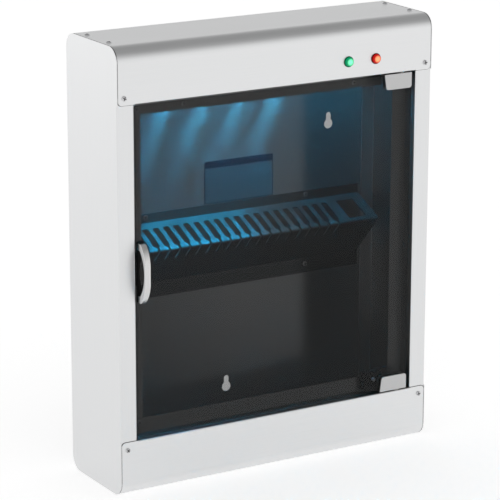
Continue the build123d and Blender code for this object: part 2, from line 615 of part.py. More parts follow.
with BuildPart() as gear_tray:
    add(tray_sheet)
    hole_z = (TRAY_UNDER - SHEET, TRAY_Z + SHEET)
    for sign in (-1, 1):
        neck_reach = NECK_LENGTH / 2 + NECK_CLEARANCE
        neck_x = (sign * SOCKET_X - neck_reach, sign * SOCKET_X + neck_reach)
        neck_y = (-NECK_WIDTH / 2 - NECK_CLEARANCE, NECK_WIDTH / 2 + NECK_CLEARANCE)
        block(neck_x, neck_y, hole_z, Mode.SUBTRACT)
    ballast_holes = [(x, BALLAST_MIDDLE_Y, TRAY_Z + SHEET) for x in BALLAST_SCREW_X]
    drill(ballast_holes, (0, 0, -1), SCREW_HOLE_RADIUS, 3 * SHEET)
save(gear_tray, "gear_tray")

with BuildPart() as lamp_sockets:
    for sign in (-1, 1):
        socket_x = sorted((sign * SOCKET_START, sign * SOCKET_END))
        block(socket_x, (-SOCKET_WIDTH / 2, SOCKET_WIDTH / 2), (TRAY_UNDER - SOCKET_DROP, TRAY_UNDER))
        neck_x = (sign * SOCKET_X - NECK_LENGTH / 2, sign * SOCKET_X + NECK_LENGTH / 2)
        block(neck_x, (-NECK_WIDTH / 2, NECK_WIDTH / 2), (TRAY_UNDER, TRAY_Z + NECK_RISE))
        for pin_y in (-TUBE_PIN_SPREAD, TUBE_PIN_SPREAD):
            pin_hole = (sign * SOCKET_START, pin_y, TUBE_Z)
            rod(pin_hole, (sign, 0, 0), TUBE_PIN_RADIUS + NECK_CLEARANCE, TUBE_PIN_LENGTH + 1, Mode.SUBTRACT)
save(lamp_sockets, "lamp_sockets")

# Lamp tube with its caps and pins
CAP_INNER_X = TUBE_HALF - END_CAP_LENGTH

with BuildPart() as lamp_tube:
    tube_end = TUBE_HALF - 2 * END_CAP_WALL
    rod((-tube_end, 0, TUBE_Z), (1, 0, 0), TUBE_RADIUS - END_CAP_WALL, 2 * tube_end)
    tube_bore = TUBE_RADIUS - END_CAP_WALL - TUBE_WALL
    rod((-tube_end, 0, TUBE_Z), (1, 0, 0), tube_bore, 2 * tube_end, Mode.SUBTRACT)
save(lamp_tube, "lamp_tube")

with BuildPart() as tube_caps:
    for sign in (-1, 1):
        rod((sign * CAP_INNER_X, 0, TUBE_Z), (sign, 0, 0), TUBE_RADIUS, END_CAP_LENGTH)
        inner_length = tube_end - CAP_INNER_X
        inner_end = (sign * CAP_INNER_X, 0, TUBE_Z)
        rod(inner_end, (sign, 0, 0), TUBE_RADIUS - END_CAP_WALL, inner_length, Mode.SUBTRACT)
save(tube_caps, "tube_caps")

with BuildPart() as tube_pins:
    for sign in (-1, 1):
        for pin_y in (-TUBE_PIN_SPREAD, TUBE_PIN_SPREAD):
            rod((sign * TUBE_HALF, pin_y, TUBE_Z), (sign, 0, 0), TUBE_PIN_RADIUS, TUBE_PIN_LENGTH)
save(tube_pins, "tube_pins")

# Electrical parts on the tray
with BuildPart() as ballast:
    block(BALLAST_X, BALLAST_Y, (TRAY_Z, TRAY_Z + BALLAST_HEIGHT))
    fillet(ballast.edges().filter_by(Axis.X), 1.5)
    foot_y = (BALLAST_MIDDLE_Y - 8, BALLAST_MIDDLE_Y + 8)
    foot_x = (BALLAST_X[0] - BALLAST_FOOT, BALLAST_X[1] + BALLAST_FOOT)
    block(foot_x, foot_y, (TRAY_Z, TRAY_Z + BALLAST_FOOT_SHEET))
    foot_holes = [(x, BALLAST_MIDDLE_Y, TRAY_Z + 2 * SHEET) for x in BALLAST_SCREW_X]
    drill(foot_holes, (0, 0, -1), SCREW_HOLE_RADIUS, 3 * SHEET)
save(ballast, "ballast")

with BuildPart() as ballast_screws:
    with Locations(*[Plane((x, BALLAST_MIDDLE_Y, TRAY_Z + BALLAST_FOOT_SHEET)) for x in BALLAST_SCREW_X]):
        add(long_screw)
save(ballast_screws, "ballast_screws")

STARTER_Z = TRAY_Z + STARTER_LIFT + STARTER_RADIUS

with BuildPart() as starter:
    rod((STARTER_X[0], 0, STARTER_Z), (1, 0, 0), STARTER_RADIUS, STARTER_X[1] - STARTER_X[0])
    fillet(starter.edges().sort_by(Axis.X)[0], 1.5)
save(starter, "starter")

with BuildPart() as starter_holder:
    holder_x = (STARTER_X[1], STARTER_X[1] + STARTER_HOLDER)
    block(holder_x, (-STARTER_RADIUS, STARTER_RADIUS), (TRAY_Z, STARTER_Z + STARTER_RADIUS))
    block((STARTER_X[0] + 5, STARTER_X[1]), (-STARTER_RADIUS / 2, STARTER_RADIUS / 2), (TRAY_Z, TRAY_Z + 2))
    cradle = (STARTER_X[0], 0, STARTER_Z)
    rod(cradle, (1, 0, 0), STARTER_RADIUS, STARTER_X[1] - STARTER_X[0], Mode.SUBTRACT)
save(starter_holder, "starter_holder")

with BuildPart() as terminal_block:
    block(TERMINAL_X, TERMINAL_Y, (TRAY_Z, TRAY_Z + TERMINAL_HEIGHT))
    way_count = 6
    way_pitch = (TERMINAL_X[1] - TERMINAL_X[0]) / way_count
    for index in range(way_count):
        way_x = TERMINAL_X[0] + (index + 0.5) * way_pitch
        for way_y in (TERMINAL_Y[0] + 5, TERMINAL_Y[1] - 5):
            rod((way_x, way_y, TRAY_Z + TERMINAL_HEIGHT), (0, 0, -1), 2.0, 3.0, Mode.SUBTRACT)
save(terminal_block, "terminal_block")

# Cord bush: the inlet for the supply cord
with BuildPart() as cord_bush:
    rod((HALF_WIDTH, CORD_BUSH_Y, CORD_BUSH_Z), (1, 0, 0), CORD_BUSH_FLANGE_RADIUS, CORD_BUSH_FLANGE)
    fillet(cord_bush.edges().sort_by(Axis.X)[-1], 1.5)
    rod((HALF_WIDTH, CORD_BUSH_Y, CORD_BUSH_Z), (-1, 0, 0), CORD_BUSH_RADIUS, CORD_BUSH_INSIDE + SHEET)
    bore_length = CORD_BUSH_FLANGE + CORD_BUSH_INSIDE + SHEET
    bore_start = (HALF_WIDTH + CORD_BUSH_FLANGE, CORD_BUSH_Y, CORD_BUSH_Z)
    rod(bore_start, (-1, 0, 0), CORD_BORE_RADIUS, bore_length, Mode.SUBTRACT)
save(cord_bush, "cord_bush")

# Door glass
with BuildPart() as door_glass:
    block((GLASS_LEFT, GLASS_RIGHT), (GLASS_FRONT, GLASS_BACK), (GLASS_BOTTOM, GLASS_TOP))
    fillet(door_glass.edges().filter_by(Axis.Y), GLASS_CORNER)
    chamfer(door_glass.faces().sort_by(Axis.Y)[0].edges(), 0.4)
save(door_glass, "door_glass")


# Hinge clamps: a U over the glass edge, with a pivot pin
def hinge_clamp(edge_z, up):
    """A clamp on the glass edge at edge_z; up is 1 for the top edge and -1 for the bottom edge."""
    plate_front = GLASS_FRONT - GASKET - CLAMP_PLATE
    plate_back = GLASS_BACK + GASKET + CLAMP_BACK_PLATE
    left = PIVOT_X - CLAMP_LEFT
    right = PIVOT_X + CLAMP_RIGHT
    inner_end = edge_z + up * (CLAMP_GLASS_CLEARANCE + CLAMP_BRIDGE - CLAMP_HEIGHT)
    bridge_inner = edge_z + up * CLAMP_GLASS_CLEARANCE
    bridge_outer = bridge_inner + up * CLAMP_BRIDGE
    with BuildPart() as clamp:
        with BuildSketch(Plane.XZ.offset(-plate_back)):
            with BuildLine():
                slant_end = (left + CLAMP_SLANT, inner_end)
                Polyline((left, bridge_outer), (right, bridge_outer), (right, inner_end), slant_end, close=True)
            make_face()
            corners = [(right, inner_end), (left + CLAMP_SLANT, inner_end)]
        extrude(amount=plate_back - plate_front)
        upright = clamp.edges().filter_by(Axis.Y)
        lower_corners = [edge for edge in upright if abs(edge.center().Z - inner_end) < 0.01]
        fillet(lower_corners, CLAMP_CORNER)
        space_z = sorted((bridge_inner, inner_end - up * 1.0))
        block((left - 1, right + 1), (GLASS_FRONT - GASKET, GLASS_BACK + GASKET), space_z, Mode.SUBTRACT)
        front_face = clamp.faces().sort_by(Axis.Y)[0]
        fillet(front_face.edges(), 0.5)
        rod((PIVOT_X, PIVOT_Y, bridge_outer - up * 0.5), (0, 0, up), PIN_RADIUS, PIN_LENGTH + 0.5)
        for screw_x in (PIVOT_X - SET_SCREW_SPREAD - 6, PIVOT_X + SET_SCREW_SPREAD - 6):
            screw_z = edge_z - up * CLAMP_HEIGHT / 2
            screw_start = (screw_x, plate_back + 1, screw_z)
            rod(screw_start, (0, -1, 0), SET_SCREW_RADIUS, CLAMP_BACK_PLATE + 1, Mode.SUBTRACT)
    return clamp.part


with BuildPart() as hinge_clamp_top:
    add(hinge_clamp(GLASS_TOP, 1))
save(hinge_clamp_top, "hinge_clamp_top")

with BuildPart() as hinge_clamp_bottom:
    add(hinge_clamp(GLASS_BOTTOM, -1))
save(hinge_clamp_bottom, "hinge_clamp_bottom")

with BuildPart() as clamp_gaskets:
    gasket_x = (PIVOT_X - CLAMP_LEFT + CLAMP_SLANT + 1, PIVOT_X + CLAMP_RIGHT - 1)
    gasket_height = CLAMP_HEIGHT - CLAMP_BRIDGE - CLAMP_CORNER
    for gasket_z in ((GLASS_TOP - gasket_height, GLASS_TOP - 0.5), (GLASS_BOTTOM + 0.5, GLASS_BOTTOM + gasket_height)):
        block(gasket_x, (GLASS_FRONT - GASKET, GLASS_FRONT), gasket_z)
        block(gasket_x, (GLASS_BACK, GLASS_BACK + GASKET), gasket_z)
save(clamp_gaskets, "clamp_gaskets")

with BuildPart() as clamp_set_screws:
    for clamp_z in (GLASS_TOP - CLAMP_HEIGHT / 2, GLASS_BOTTOM + CLAMP_HEIGHT / 2):
        for screw_x in (PIVOT_X - SET_SCREW_SPREAD - 6, PIVOT_X + SET_SCREW_SPREAD - 6):
            seat = (screw_x, GLASS_BACK + GASKET, clamp_z)
            rod(seat, (0, 1, 0), SET_SCREW_RADIUS, CLAMP_BACK_PLATE)
            socket_start = (screw_x, GLASS_BACK + GASKET + CLAMP_BACK_PLATE, clamp_z)
            rod(socket_start, (0, -1, 0), 1.2, 1.6, Mode.SUBTRACT)
save(clamp_set_screws, "clamp_set_screws")

with BuildPart() as hinge_bushes:
    for shelf_z, up in ((OPENING_TOP, 1), (OPENING_BOTTOM, -1)):
        start = (PIVOT_X, PIVOT_Y, shelf_z - up * BUSH_FLANGE)
        rod(start, (0, 0, up), BUSH_FLANGE_RADIUS, BUSH_FLANGE)
        rod(start, (0, 0, up), BUSH_RADIUS, BUSH_LENGTH)
        rod(start, (0, 0, up), PIN_RADIUS + PIN_CLEARANCE, BUSH_LENGTH, Mode.SUBTRACT)
save(hinge_bushes, "hinge_bushes")

# Handle: a bow on a black base
HANDLE_LOW = HANDLE_Z - HANDLE_LENGTH / 2
HANDLE_HIGH = HANDLE_Z + HANDLE_LENGTH / 2
BOW_INNER_END = HANDLE_END_REACH - HANDLE_THICKNESS * 0.7

with BuildPart() as handle_bow:
    with BuildSketch(Plane.YZ.offset(HANDLE_X - HANDLE_WIDTH / 2)):
        with BuildLine():
            outer_end = FRONT - HANDLE_END_REACH
            inner_end = FRONT - BOW_INNER_END
            outer_middle = FRONT - HANDLE_REACH
            straight_low = (outer_middle, HANDLE_Z - HANDLE_STRAIGHT / 2)
            straight_high = (outer_middle, HANDLE_Z + HANDLE_STRAIGHT / 2)
            TangentArc(straight_low, (outer_end, HANDLE_LOW), tangent=(0, -1))
            Line(straight_low, straight_high)
            TangentArc(straight_high, (outer_end, HANDLE_HIGH), tangent=(0, 1))
            foot_high = HANDLE_HIGH - HANDLE_FOOT
            foot_low = HANDLE_LOW + HANDLE_FOOT
            Polyline((outer_end, HANDLE_HIGH), (FRONT, HANDLE_HIGH), (FRONT, foot_high), (inner_end, foot_high))
            inner_middle = outer_middle + HANDLE_THICKNESS
            ThreePointArc((inner_end, foot_high), (inner_middle, HANDLE_Z), (inner_end, foot_low))
            Polyline((inner_end, foot_low), (FRONT, foot_low), (FRONT, HANDLE_LOW), (outer_end, HANDLE_LOW))
        make_face()
    extrude(amount=HANDLE_WIDTH)
    side_edges = handle_bow.edges().filter_by(Axis.X, reverse=True)
    outer_limit = outer_end + 0.1
    outer_edges = side_edges.filter_by(lambda edge: max(corner.Y for corner in edge.vertices()) < outer_limit)
    fillet(outer_edges, 1.2)
save(handle_bow, "handle_bow")

with BuildPart() as handle_base:
    base_left = GLASS_LEFT - BASE_LEFT_OVERHANG + GLASS_SETBACK
    base_right = HANDLE_X + HANDLE_WIDTH / 2 + 0.5
    base_low = HANDLE_Z - BASE_LENGTH / 2
    base_high = HANDLE_Z + BASE_LENGTH / 2
    block((base_left, base_right), (FRONT, GLASS_FRONT), (base_low, base_high))
    fillet(handle_base.edges().filter_by(Axis.Y), BASE_CORNER)
    gap_half = HANDLE_LENGTH / 2 - HANDLE_FOOT - 1
    gap_depth = base_right - base_left - BASE_RIM
    gap_radius = (gap_half ** 2 + gap_depth ** 2) / (2 * gap_depth)
    gap_centre = (base_left + BASE_RIM + gap_radius, FRONT - 1, HANDLE_Z)
    rod(gap_centre, (0, 1, 0), gap_radius, GLASS_SETBACK + 2, Mode.SUBTRACT)
save(handle_base, "handle_base")

# Magnetic catch and its strike plate
CATCH_LEFT = -OPENING_HALF + CATCH_FLANGE_INSET
STRIKE_BACK = GLASS_BACK + STRIKE_THICKNESS

with BuildPart() as strike_plate:
    strike_x = (CATCH_LEFT + 1, CATCH_LEFT + CATCH_WIDTH)
    block(strike_x, (GLASS_BACK, STRIKE_BACK), (HANDLE_Z - CATCH_LENGTH / 2, HANDLE_Z + CATCH_LENGTH / 2))
    fillet(strike_plate.edges().filter_by(Axis.Y), 2.0)
save(strike_plate, "strike_plate")

catch_x = (CATCH_LEFT, CATCH_LEFT + CATCH_WIDTH)
catch_y = (STRIKE_BACK + CATCH_AIR, SIDE_STOP)
catch_z = (HANDLE_Z - CATCH_LENGTH / 2, HANDLE_Z + CATCH_LENGTH / 2)
magnet_x = (catch_x[0] + CATCH_MAGNET_MARGIN, catch_x[1] - CATCH_MAGNET_MARGIN)
magnet_y = (catch_y[0], catch_y[0] + CATCH_MAGNET_DEPTH)
magnet_z = (catch_z[0] + CATCH_MAGNET_MARGIN, catch_z[1] - CATCH_MAGNET_MARGIN)

with BuildPart() as catch_body:
    block(catch_x, catch_y, catch_z)
    fillet(catch_body.edges().filter_by(Axis.Y), 1.5)
    block(magnet_x, (magnet_y[0] - 1, magnet_y[1]), magnet_z, Mode.SUBTRACT)
save(catch_body, "catch_body")

with BuildPart() as catch_magnet:
    block(magnet_x, magnet_y, magnet_z)
save(catch_magnet, "catch_magnet")

# Door switch with its plunger
SWITCH_X = (DOOR_SWITCH_X - DOOR_SWITCH_WIDTH / 2, DOOR_SWITCH_X + DOOR_SWITCH_WIDTH / 2)
SWITCH_Y = (COVER_STOP - DOOR_SWITCH_DEPTH, COVER_STOP)
SWITCH_Z = (OPENING_BOTTOM + DOOR_SWITCH_RISE, OPENING_BOTTOM + DOOR_SWITCH_RISE + DOOR_SWITCH_HEIGHT)
PLUNGER_Z = sum(SWITCH_Z) / 2 + 3.0

with BuildPart() as door_switch:
    block(SWITCH_X, SWITCH_Y, SWITCH_Z)
    fillet(door_switch.edges().filter_by(Axis.Y), 1.5)
    bore_start = (DOOR_SWITCH_X, SWITCH_Y[0], PLUNGER_Z)
    rod(bore_start, (0, 1, 0), PLUNGER_RADIUS + PLUNGER_CLEARANCE, PLUNGER_BORE_DEPTH, Mode.SUBTRACT)
save(door_switch, "door_switch")

with BuildPart() as door_switch_plunger:
    plunger_front = GLASS_BACK + PLUNGER_AIR
    plunger_back = SWITCH_Y[0] + PLUNGER_BORE_DEPTH - PLUNGER_TRAVEL - 0.5
    rod((DOOR_SWITCH_X, plunger_front, PLUNGER_Z), (0, 1, 0), PLUNGER_RADIUS, plunger_back - plunger_front)
    fillet(door_switch_plunger.edges().sort_by(Axis.Y)[0], 1.0)
save(door_switch_plunger, "door_switch_plunger")


# Push buttons: bezel with its barrel, cap, nut and switch block
def button_bezel(button_x):
    """The fixed ring and barrel of a push button."""
    with BuildPart() as bezel:
        rod((button_x, FRONT, BUTTON_Z), (0, -1, 0), BEZEL_RADIUS, BEZEL_HEIGHT)
        fillet(bezel.edges().sort_by(Axis.Y)[0], 0.7)
        rod((button_x, FRONT, BUTTON_Z), (0, 1, 0), BARREL_RADIUS, BARREL_LENGTH)
        bore = (button_x, FRONT - BEZEL_HEIGHT, BUTTON_Z)
        bore_length = BEZEL_HEIGHT + CAP_LENGTH + BUTTON_TRAVEL
        rod(bore, (0, 1, 0), CAP_RADIUS + CAP_CLEARANCE, bore_length, Mode.SUBTRACT)
    return bezel.part


def button_cap(button_x):
    """The cap that is pressed."""
    with BuildPart() as cap:
        rod((button_x, FRONT - CAP_REACH, BUTTON_Z), (0, 1, 0), CAP_RADIUS, CAP_LENGTH)
        fillet(cap.edges().sort_by(Axis.Y)[0], CAP_ROUNDING)
    return cap.part


def button_nut(button_x):
    """The hexagonal nut behind the header."""
    with BuildPart() as nut:
        with BuildSketch(Plane((button_x, STILE_FACE, BUTTON_Z), z_dir=(0, 1, 0))):
            RegularPolygon(NUT_RADIUS, 6)
            Circle(BARREL_RADIUS, mode=Mode.SUBTRACT)
        extrude(amount=NUT_THICKNESS)
    return nut.part


def button_switch(button_x):
    """The switch block with its two terminals."""
    half = SWITCH_BLOCK / 2
    start = FRONT + BARREL_LENGTH
    end = start + SWITCH_BLOCK_LENGTH
    with BuildPart() as switch:
        block((button_x - half, button_x + half), (start, end), (BUTTON_Z - half, BUTTON_Z + half))
        for pin_x in (button_x - TERMINAL_SPREAD, button_x + TERMINAL_SPREAD):
            pin_half = TERMINAL_SIZE / 2
            pin_z = (BUTTON_Z - pin_half, BUTTON_Z + pin_half)
            block((pin_x - pin_half, pin_x + pin_half), (end, end + TERMINAL_LENGTH), pin_z)
    return switch.part


BUTTONS = {"green": GREEN_BUTTON_X, "red": RED_BUTTON_X}
for colour, button_x in BUTTONS.items():
    for make, piece in ((button_bezel, "bezel"), (button_cap, "cap"), (button_nut, "nut"), (button_switch, "switch")):
        with BuildPart() as button_piece:
            add(make(button_x))
        save(button_piece, colour + "_button_" + piece)

# Leads inside the lamp compartment
TERMINAL_FRONT_Y = TERMINAL_Y[0]
SWITCH_END_Y = FRONT + BARREL_LENGTH + SWITCH_BLOCK_LENGTH + TERMINAL_LENGTH
RISE_Y = TRAY_FRONT - 4.0
HIGH_Z = TRAY_Z + LEAD_HIGH
LOW_Z = TRAY_Z + LEAD_LOW

with BuildPart() as button_leads:
    for button_x in BUTTONS.values():
        for lead_x in (button_x - TERMINAL_SPREAD, button_x + TERMINAL_SPREAD):
            route = [
                (lead_x, SWITCH_END_Y, BUTTON_Z),
                (lead_x, RISE_Y, BUTTON_Z),
                (lead_x, RISE_Y, HIGH_Z),
                (lead_x, TERMINAL_FRONT_Y, HIGH_Z),
            ]
            add(lead(route, LEAD_BEND))
save(button_leads, "button_leads")

with BuildPart() as ballast_leads:
    for lead_y in (BALLAST_Y[1] - 17, BALLAST_Y[1] - 11):
        add(lead([(BALLAST_X[1], lead_y, HIGH_Z), (TERMINAL_X[0], lead_y, HIGH_Z)], LEAD_BEND))
save(ballast_leads, "ballast_leads")

NECK_INNER_X = SOCKET_X - NECK_LENGTH / 2

with BuildPart() as lamp_leads:
    left_run = BALLAST_X[0] + NECK_INNER_X
    left_route = [
        (BALLAST_X[0], BALLAST_Y[0] + LEAD_INSET, LOW_Z),
        (BALLAST_X[0] - left_run * 0.36, BALLAST_Y[0] + LEAD_INSET, LOW_Z),
        (BALLAST_X[0] - left_run * 0.56, 0, LOW_Z),
        (-NECK_INNER_X, 0, LOW_Z),
    ]
    add(lead(left_route, LEAD_BEND))
    right_run = NECK_INNER_X - TERMINAL_X[1]
    right_route = [
        (TERMINAL_X[1], TERMINAL_Y[1] - LEAD_INSET, LOW_Z),
        (TERMINAL_X[1] + right_run * 0.36, TERMINAL_Y[1] - LEAD_INSET, LOW_Z),
        (TERMINAL_X[1] + right_run * 0.66, 0, LOW_Z),
        (NECK_INNER_X, 0, LOW_Z),
    ]
    add(lead(right_route, LEAD_BEND))
    holder_end = STARTER_X[1] + STARTER_HOLDER
    starter_route = [
        (holder_end, 4, LOW_Z),
        (holder_end + 10, 4, LOW_Z),
        (holder_end + 10, TERMINAL_Y[0] + 4, LOW_Z),
        (TERMINAL_X[0], TERMINAL_Y[0] + 4, LOW_Z),
    ]
    add(lead(starter_route, LEAD_BEND))
save(lamp_leads, "lamp_leads")

with BuildPart() as door_switch_lead:
    behind_stop_y = SIDE_STOP + 7.0
    wall_x = INNER_HALF - LEAD_RADIUS - 0.1
    exit_z = SWITCH_Z[1] - 3.0
    top_z = HIGH_Z + 4.0
    cross_x = TERMINAL_X[1] + 14.0
    door_route = [
        (DOOR_SWITCH_X, COVER_STOP, exit_z),
        (DOOR_SWITCH_X, behind_stop_y, exit_z),
        (wall_x, behind_stop_y, exit_z),
        (wall_x, behind_stop_y, top_z),
        (cross_x, behind_stop_y, top_z),
        (cross_x, TERMINAL_Y[0] + 5, top_z),
        (TERMINAL_X[1], TERMINAL_Y[0] + 5, top_z),
    ]
    add(lead(door_route, LEAD_BEND))
save(door_switch_lead, "door_switch_lead")
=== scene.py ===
# %% [markdown]
# # A knife sterilizer cabinet
# A shallow steel cabinet hangs on a wall or stands on a worktop. Behind its dark glass door a lamp
# lights a slotted rack for knives. This lesson dresses the finished CAD model: it loads the solids,
# gives every surface a finish made of shader nodes, rebuilds the small repeated pieces with Geometry
# Nodes, and lights the result like a catalogue picture.

import bpy
import math
from mathutils import Matrix, Vector


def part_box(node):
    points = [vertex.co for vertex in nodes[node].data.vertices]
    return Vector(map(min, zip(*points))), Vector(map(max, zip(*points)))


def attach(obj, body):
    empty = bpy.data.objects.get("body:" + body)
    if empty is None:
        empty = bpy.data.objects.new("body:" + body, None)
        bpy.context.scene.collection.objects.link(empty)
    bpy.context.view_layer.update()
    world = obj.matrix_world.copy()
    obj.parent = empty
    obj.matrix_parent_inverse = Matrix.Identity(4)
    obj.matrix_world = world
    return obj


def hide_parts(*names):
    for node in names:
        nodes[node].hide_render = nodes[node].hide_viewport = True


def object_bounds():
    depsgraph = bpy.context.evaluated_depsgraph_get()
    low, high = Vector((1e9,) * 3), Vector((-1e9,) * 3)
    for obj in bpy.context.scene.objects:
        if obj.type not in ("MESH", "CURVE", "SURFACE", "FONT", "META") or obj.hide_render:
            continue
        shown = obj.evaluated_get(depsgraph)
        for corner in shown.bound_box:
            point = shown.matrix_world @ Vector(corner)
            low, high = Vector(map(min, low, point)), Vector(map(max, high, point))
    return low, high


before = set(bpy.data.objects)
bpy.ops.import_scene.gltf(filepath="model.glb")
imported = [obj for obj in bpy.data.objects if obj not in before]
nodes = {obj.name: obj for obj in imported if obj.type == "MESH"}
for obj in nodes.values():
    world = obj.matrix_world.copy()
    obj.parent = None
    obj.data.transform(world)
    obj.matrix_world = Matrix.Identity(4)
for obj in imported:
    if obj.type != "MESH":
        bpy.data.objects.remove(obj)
cad_low, cad_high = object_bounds()
print("solids loaded:", len(nodes))
print("overall size in millimetres:", [round(1000 * (cad_high[i] - cad_low[i]), 1) for i in range(3)])

# %% [markdown]
# The camera stands to the left of the cabinet and a little above its middle. The values came from
# fitting the cabinet's corners, so they are kept as plain numbers: two angles, a distance and a lens.

# %% Camera
CAMERA_AZIMUTH = -30.93
CAMERA_ELEVATION = 15.50
CAMERA_ROLL = 0.14
CAMERA_DISTANCE = 3.509
CAMERA_TARGET = Vector((-0.003, 0.0, 0.291))
CAMERA_LENS = 185.3
CAMERA_SENSOR = 36.0


def add_camera():
    """A camera that looks at the target from its two angles."""
    azimuth = math.radians(CAMERA_AZIMUTH)
    elevation = math.radians(CAMERA_ELEVATION)
    away = Vector((
        math.sin(azimuth) * math.cos(elevation),
        -math.cos(azimuth) * math.cos(elevation),
        math.sin(elevation),
    ))
    data = bpy.data.cameras.new("camera")
    data.sensor_width = CAMERA_SENSOR
    data.lens = CAMERA_LENS
    camera = bpy.data.objects.new("camera", data)
    bpy.context.scene.collection.objects.link(camera)
    camera.location = CAMERA_TARGET + away * CAMERA_DISTANCE
    turn = away.to_track_quat("Z", "Y").to_matrix().to_4x4()
    roll = Matrix.Rotation(math.radians(CAMERA_ROLL), 4, "Z")
    camera.rotation_mode = "QUATERNION"
    camera.rotation_quaternion = (turn @ roll).to_quaternion()
    bpy.context.scene.camera = camera
    return camera


camera = add_camera()
print("camera at", [round(v, 3) for v in camera.location])

# %% [markdown]
# Every finish in this file is a small tree of shader nodes. A few helpers keep the cells short: they
# start a material, add a node or a sum with its settings, link the shader to the output, and make the
# two parts that nearly every finish has, stretched noise and a colour ramp. The last helper gives a
# finish to solids by their names.


# %% Helpers for materials
def new_material(name):
    """A material with only its output node, and its tree."""
    material = bpy.data.materials.new(name)
    material.use_nodes = True
    tree = material.node_tree
    tree.nodes.clear()
    tree.nodes.new("ShaderNodeOutputMaterial")
    return material, tree


def node(tree, kind, inputs=None, family="ShaderNode", **settings):
    """A node with some inputs set or linked; a socket given as a value is linked."""
    made = tree.nodes.new(family + kind)
    for key, value in settings.items():
        setattr(made, key, value)
    for key, value in (inputs or {}).items():
        if isinstance(value, bpy.types.NodeSocket):
            tree.links.new(value, made.inputs[key])
        else:
            made.inputs[key].default_value = value
    return made


def maths(tree, operation, *values):
    """The result of one sum on numbers or sockets."""
    return node(tree, "Math", dict(enumerate(values)), operation=operation).outputs[0]


def show(tree, shader):
    """Links a shader to the material's output."""
    output = next(n for n in tree.nodes if n.type == "OUTPUT_MATERIAL")
    tree.links.new(shader.outputs[0], output.inputs["Surface"])


def stretched_noise(tree, scale, detail=3.0):
    """Noise stretched along the axes, in features per metre, for brush lines and grain."""
    place = node(tree, "TexCoord")
    stretch = node(tree, "Mapping", {"Vector": place.outputs["Object"], "Scale": scale})
    return node(tree, "TexNoise", {"Vector": stretch.outputs[0], "Scale": 1.0, "Detail": detail})


def ramp(tree, factor, stops):
    """A colour ramp from (position, grey or colour) stops."""
    made = node(tree, "ValToRGB", {"Fac": factor})
    elements = made.color_ramp.elements
    while len(elements) < len(stops):
        elements.new(0.5)
    for element, (position, colour) in zip(elements, stops):
        element.position = position
        rgb = (colour,) * 3 if isinstance(colour, float) else colour
        element.color = (rgb[0], rgb[1], rgb[2], 1.0)
    return made


def dress(names, material):
    """Gives a material to the named solids."""
    for name in names:
        nodes[name].data.materials.clear()
        nodes[name].data.materials.append(material)


print("material helpers ready")

# %% [markdown]
# The body is satin stainless sheet, brushed in one direction. Brushing leaves fine parallel scratches
# that make the sheet rougher in streaks. A mirrored lamp stays sharp along the scratches and smears
# out across them, so the shader's tangent points across the brushing. The back panel is brushed from
# side to side and smears the most, which draws the lit windows of the ceiling down it as slanting
# blue streaks. The folds inside the door opening lie in the cabinet's own shade, and that shade is
# painted: the covers and the side panels take a darker grey there.


# %% Brushed steel
# Dark grey painted on the folds inside the door opening, where the cabinet's own shade falls.
INSIDE_PAINTED_SHADE = (0.28, 0.28, 0.28, 1.0)


def inside_share(tree, middle, half):
    """Painted shade mask: 1 behind the front skin, nearer to the middle than half along each axis, else 0.
    """
    place = node(tree, "TexCoord")
    shift = node(tree, "VectorMath", {0: place.outputs["Object"], 1: middle}, operation="SUBTRACT")
    reach = node(tree, "VectorMath", {0: shift.outputs[0]}, operation="ABSOLUTE")
    axes = node(tree, "SeparateXYZ", {0: reach.outputs[0]})
    share = None
    for axis, limit in zip("XYZ", half):
        within = maths(tree, "LESS_THAN", axes.outputs[axis], limit)
        share = within if share is None else maths(tree, "MULTIPLY", share, within)
    return share


def brushed_steel(name, scale, across, colour, rough, stretch, specks=0.02, inside=None, metal=1.0):
    """Brushed steel that smears reflections across its scratches, with painted shade in the inside box."""
    material, tree = new_material(name)
    scratches = stretched_noise(tree, scale, 4.0)
    shade = ramp(tree, scratches.outputs["Fac"], [
        (0.25, tuple(c * (1.0 - specks) for c in colour)),
        (0.75, tuple(min(1.0, c * (1.0 + specks)) for c in colour)),
    ]).outputs[0]
    # Painted shade: inside the box the colour is mixed towards the dark grey.
    if inside:
        share = inside_share(tree, *inside)
        shade = node(tree, "Mix", {0: share, 6: shade, 7: INSIDE_PAINTED_SHADE}, data_type="RGBA").outputs[2]
    dull = ramp(tree, scratches.outputs["Fac"], [(0.2, rough * 0.85), (0.8, rough * 1.15)])
    smear = node(tree, "CombineXYZ", {"X": across[0], "Y": across[1], "Z": across[2]})
    bump = node(tree, "Bump", {"Height": scratches.outputs["Fac"], "Strength": 0.05, "Distance": 0.0002})
    shader = node(tree, "BsdfPrincipled", {
        "Base Color": shade,
        "Roughness": dull.outputs[0],
        "Metallic": metal,
        "Anisotropic": stretch,
        "Tangent": smear.outputs[0],
        "Normal": bump.outputs[0],
    })
    show(tree, shader)
    return material


SHEET = 0.001
BODY_HALF_WIDTH = 0.2425
OPENING_MIDDLE_Z = 0.303
OPENING_HALF_HEIGHT = 0.227
CABINET_DEPTH = 0.140
ANY_HEIGHT = 0.5
skin = 1.2 * SHEET
inner_depth = CABINET_DEPTH / 2 - skin
inside_middle = (0.0, 0.0, OPENING_MIDDLE_Z)
cover_inside = (inside_middle, (BODY_HALF_WIDTH, inner_depth, OPENING_HALF_HEIGHT + skin))
side_inside = (inside_middle, (BODY_HALF_WIDTH - SHEET / 2, inner_depth - skin, ANY_HEIGHT))

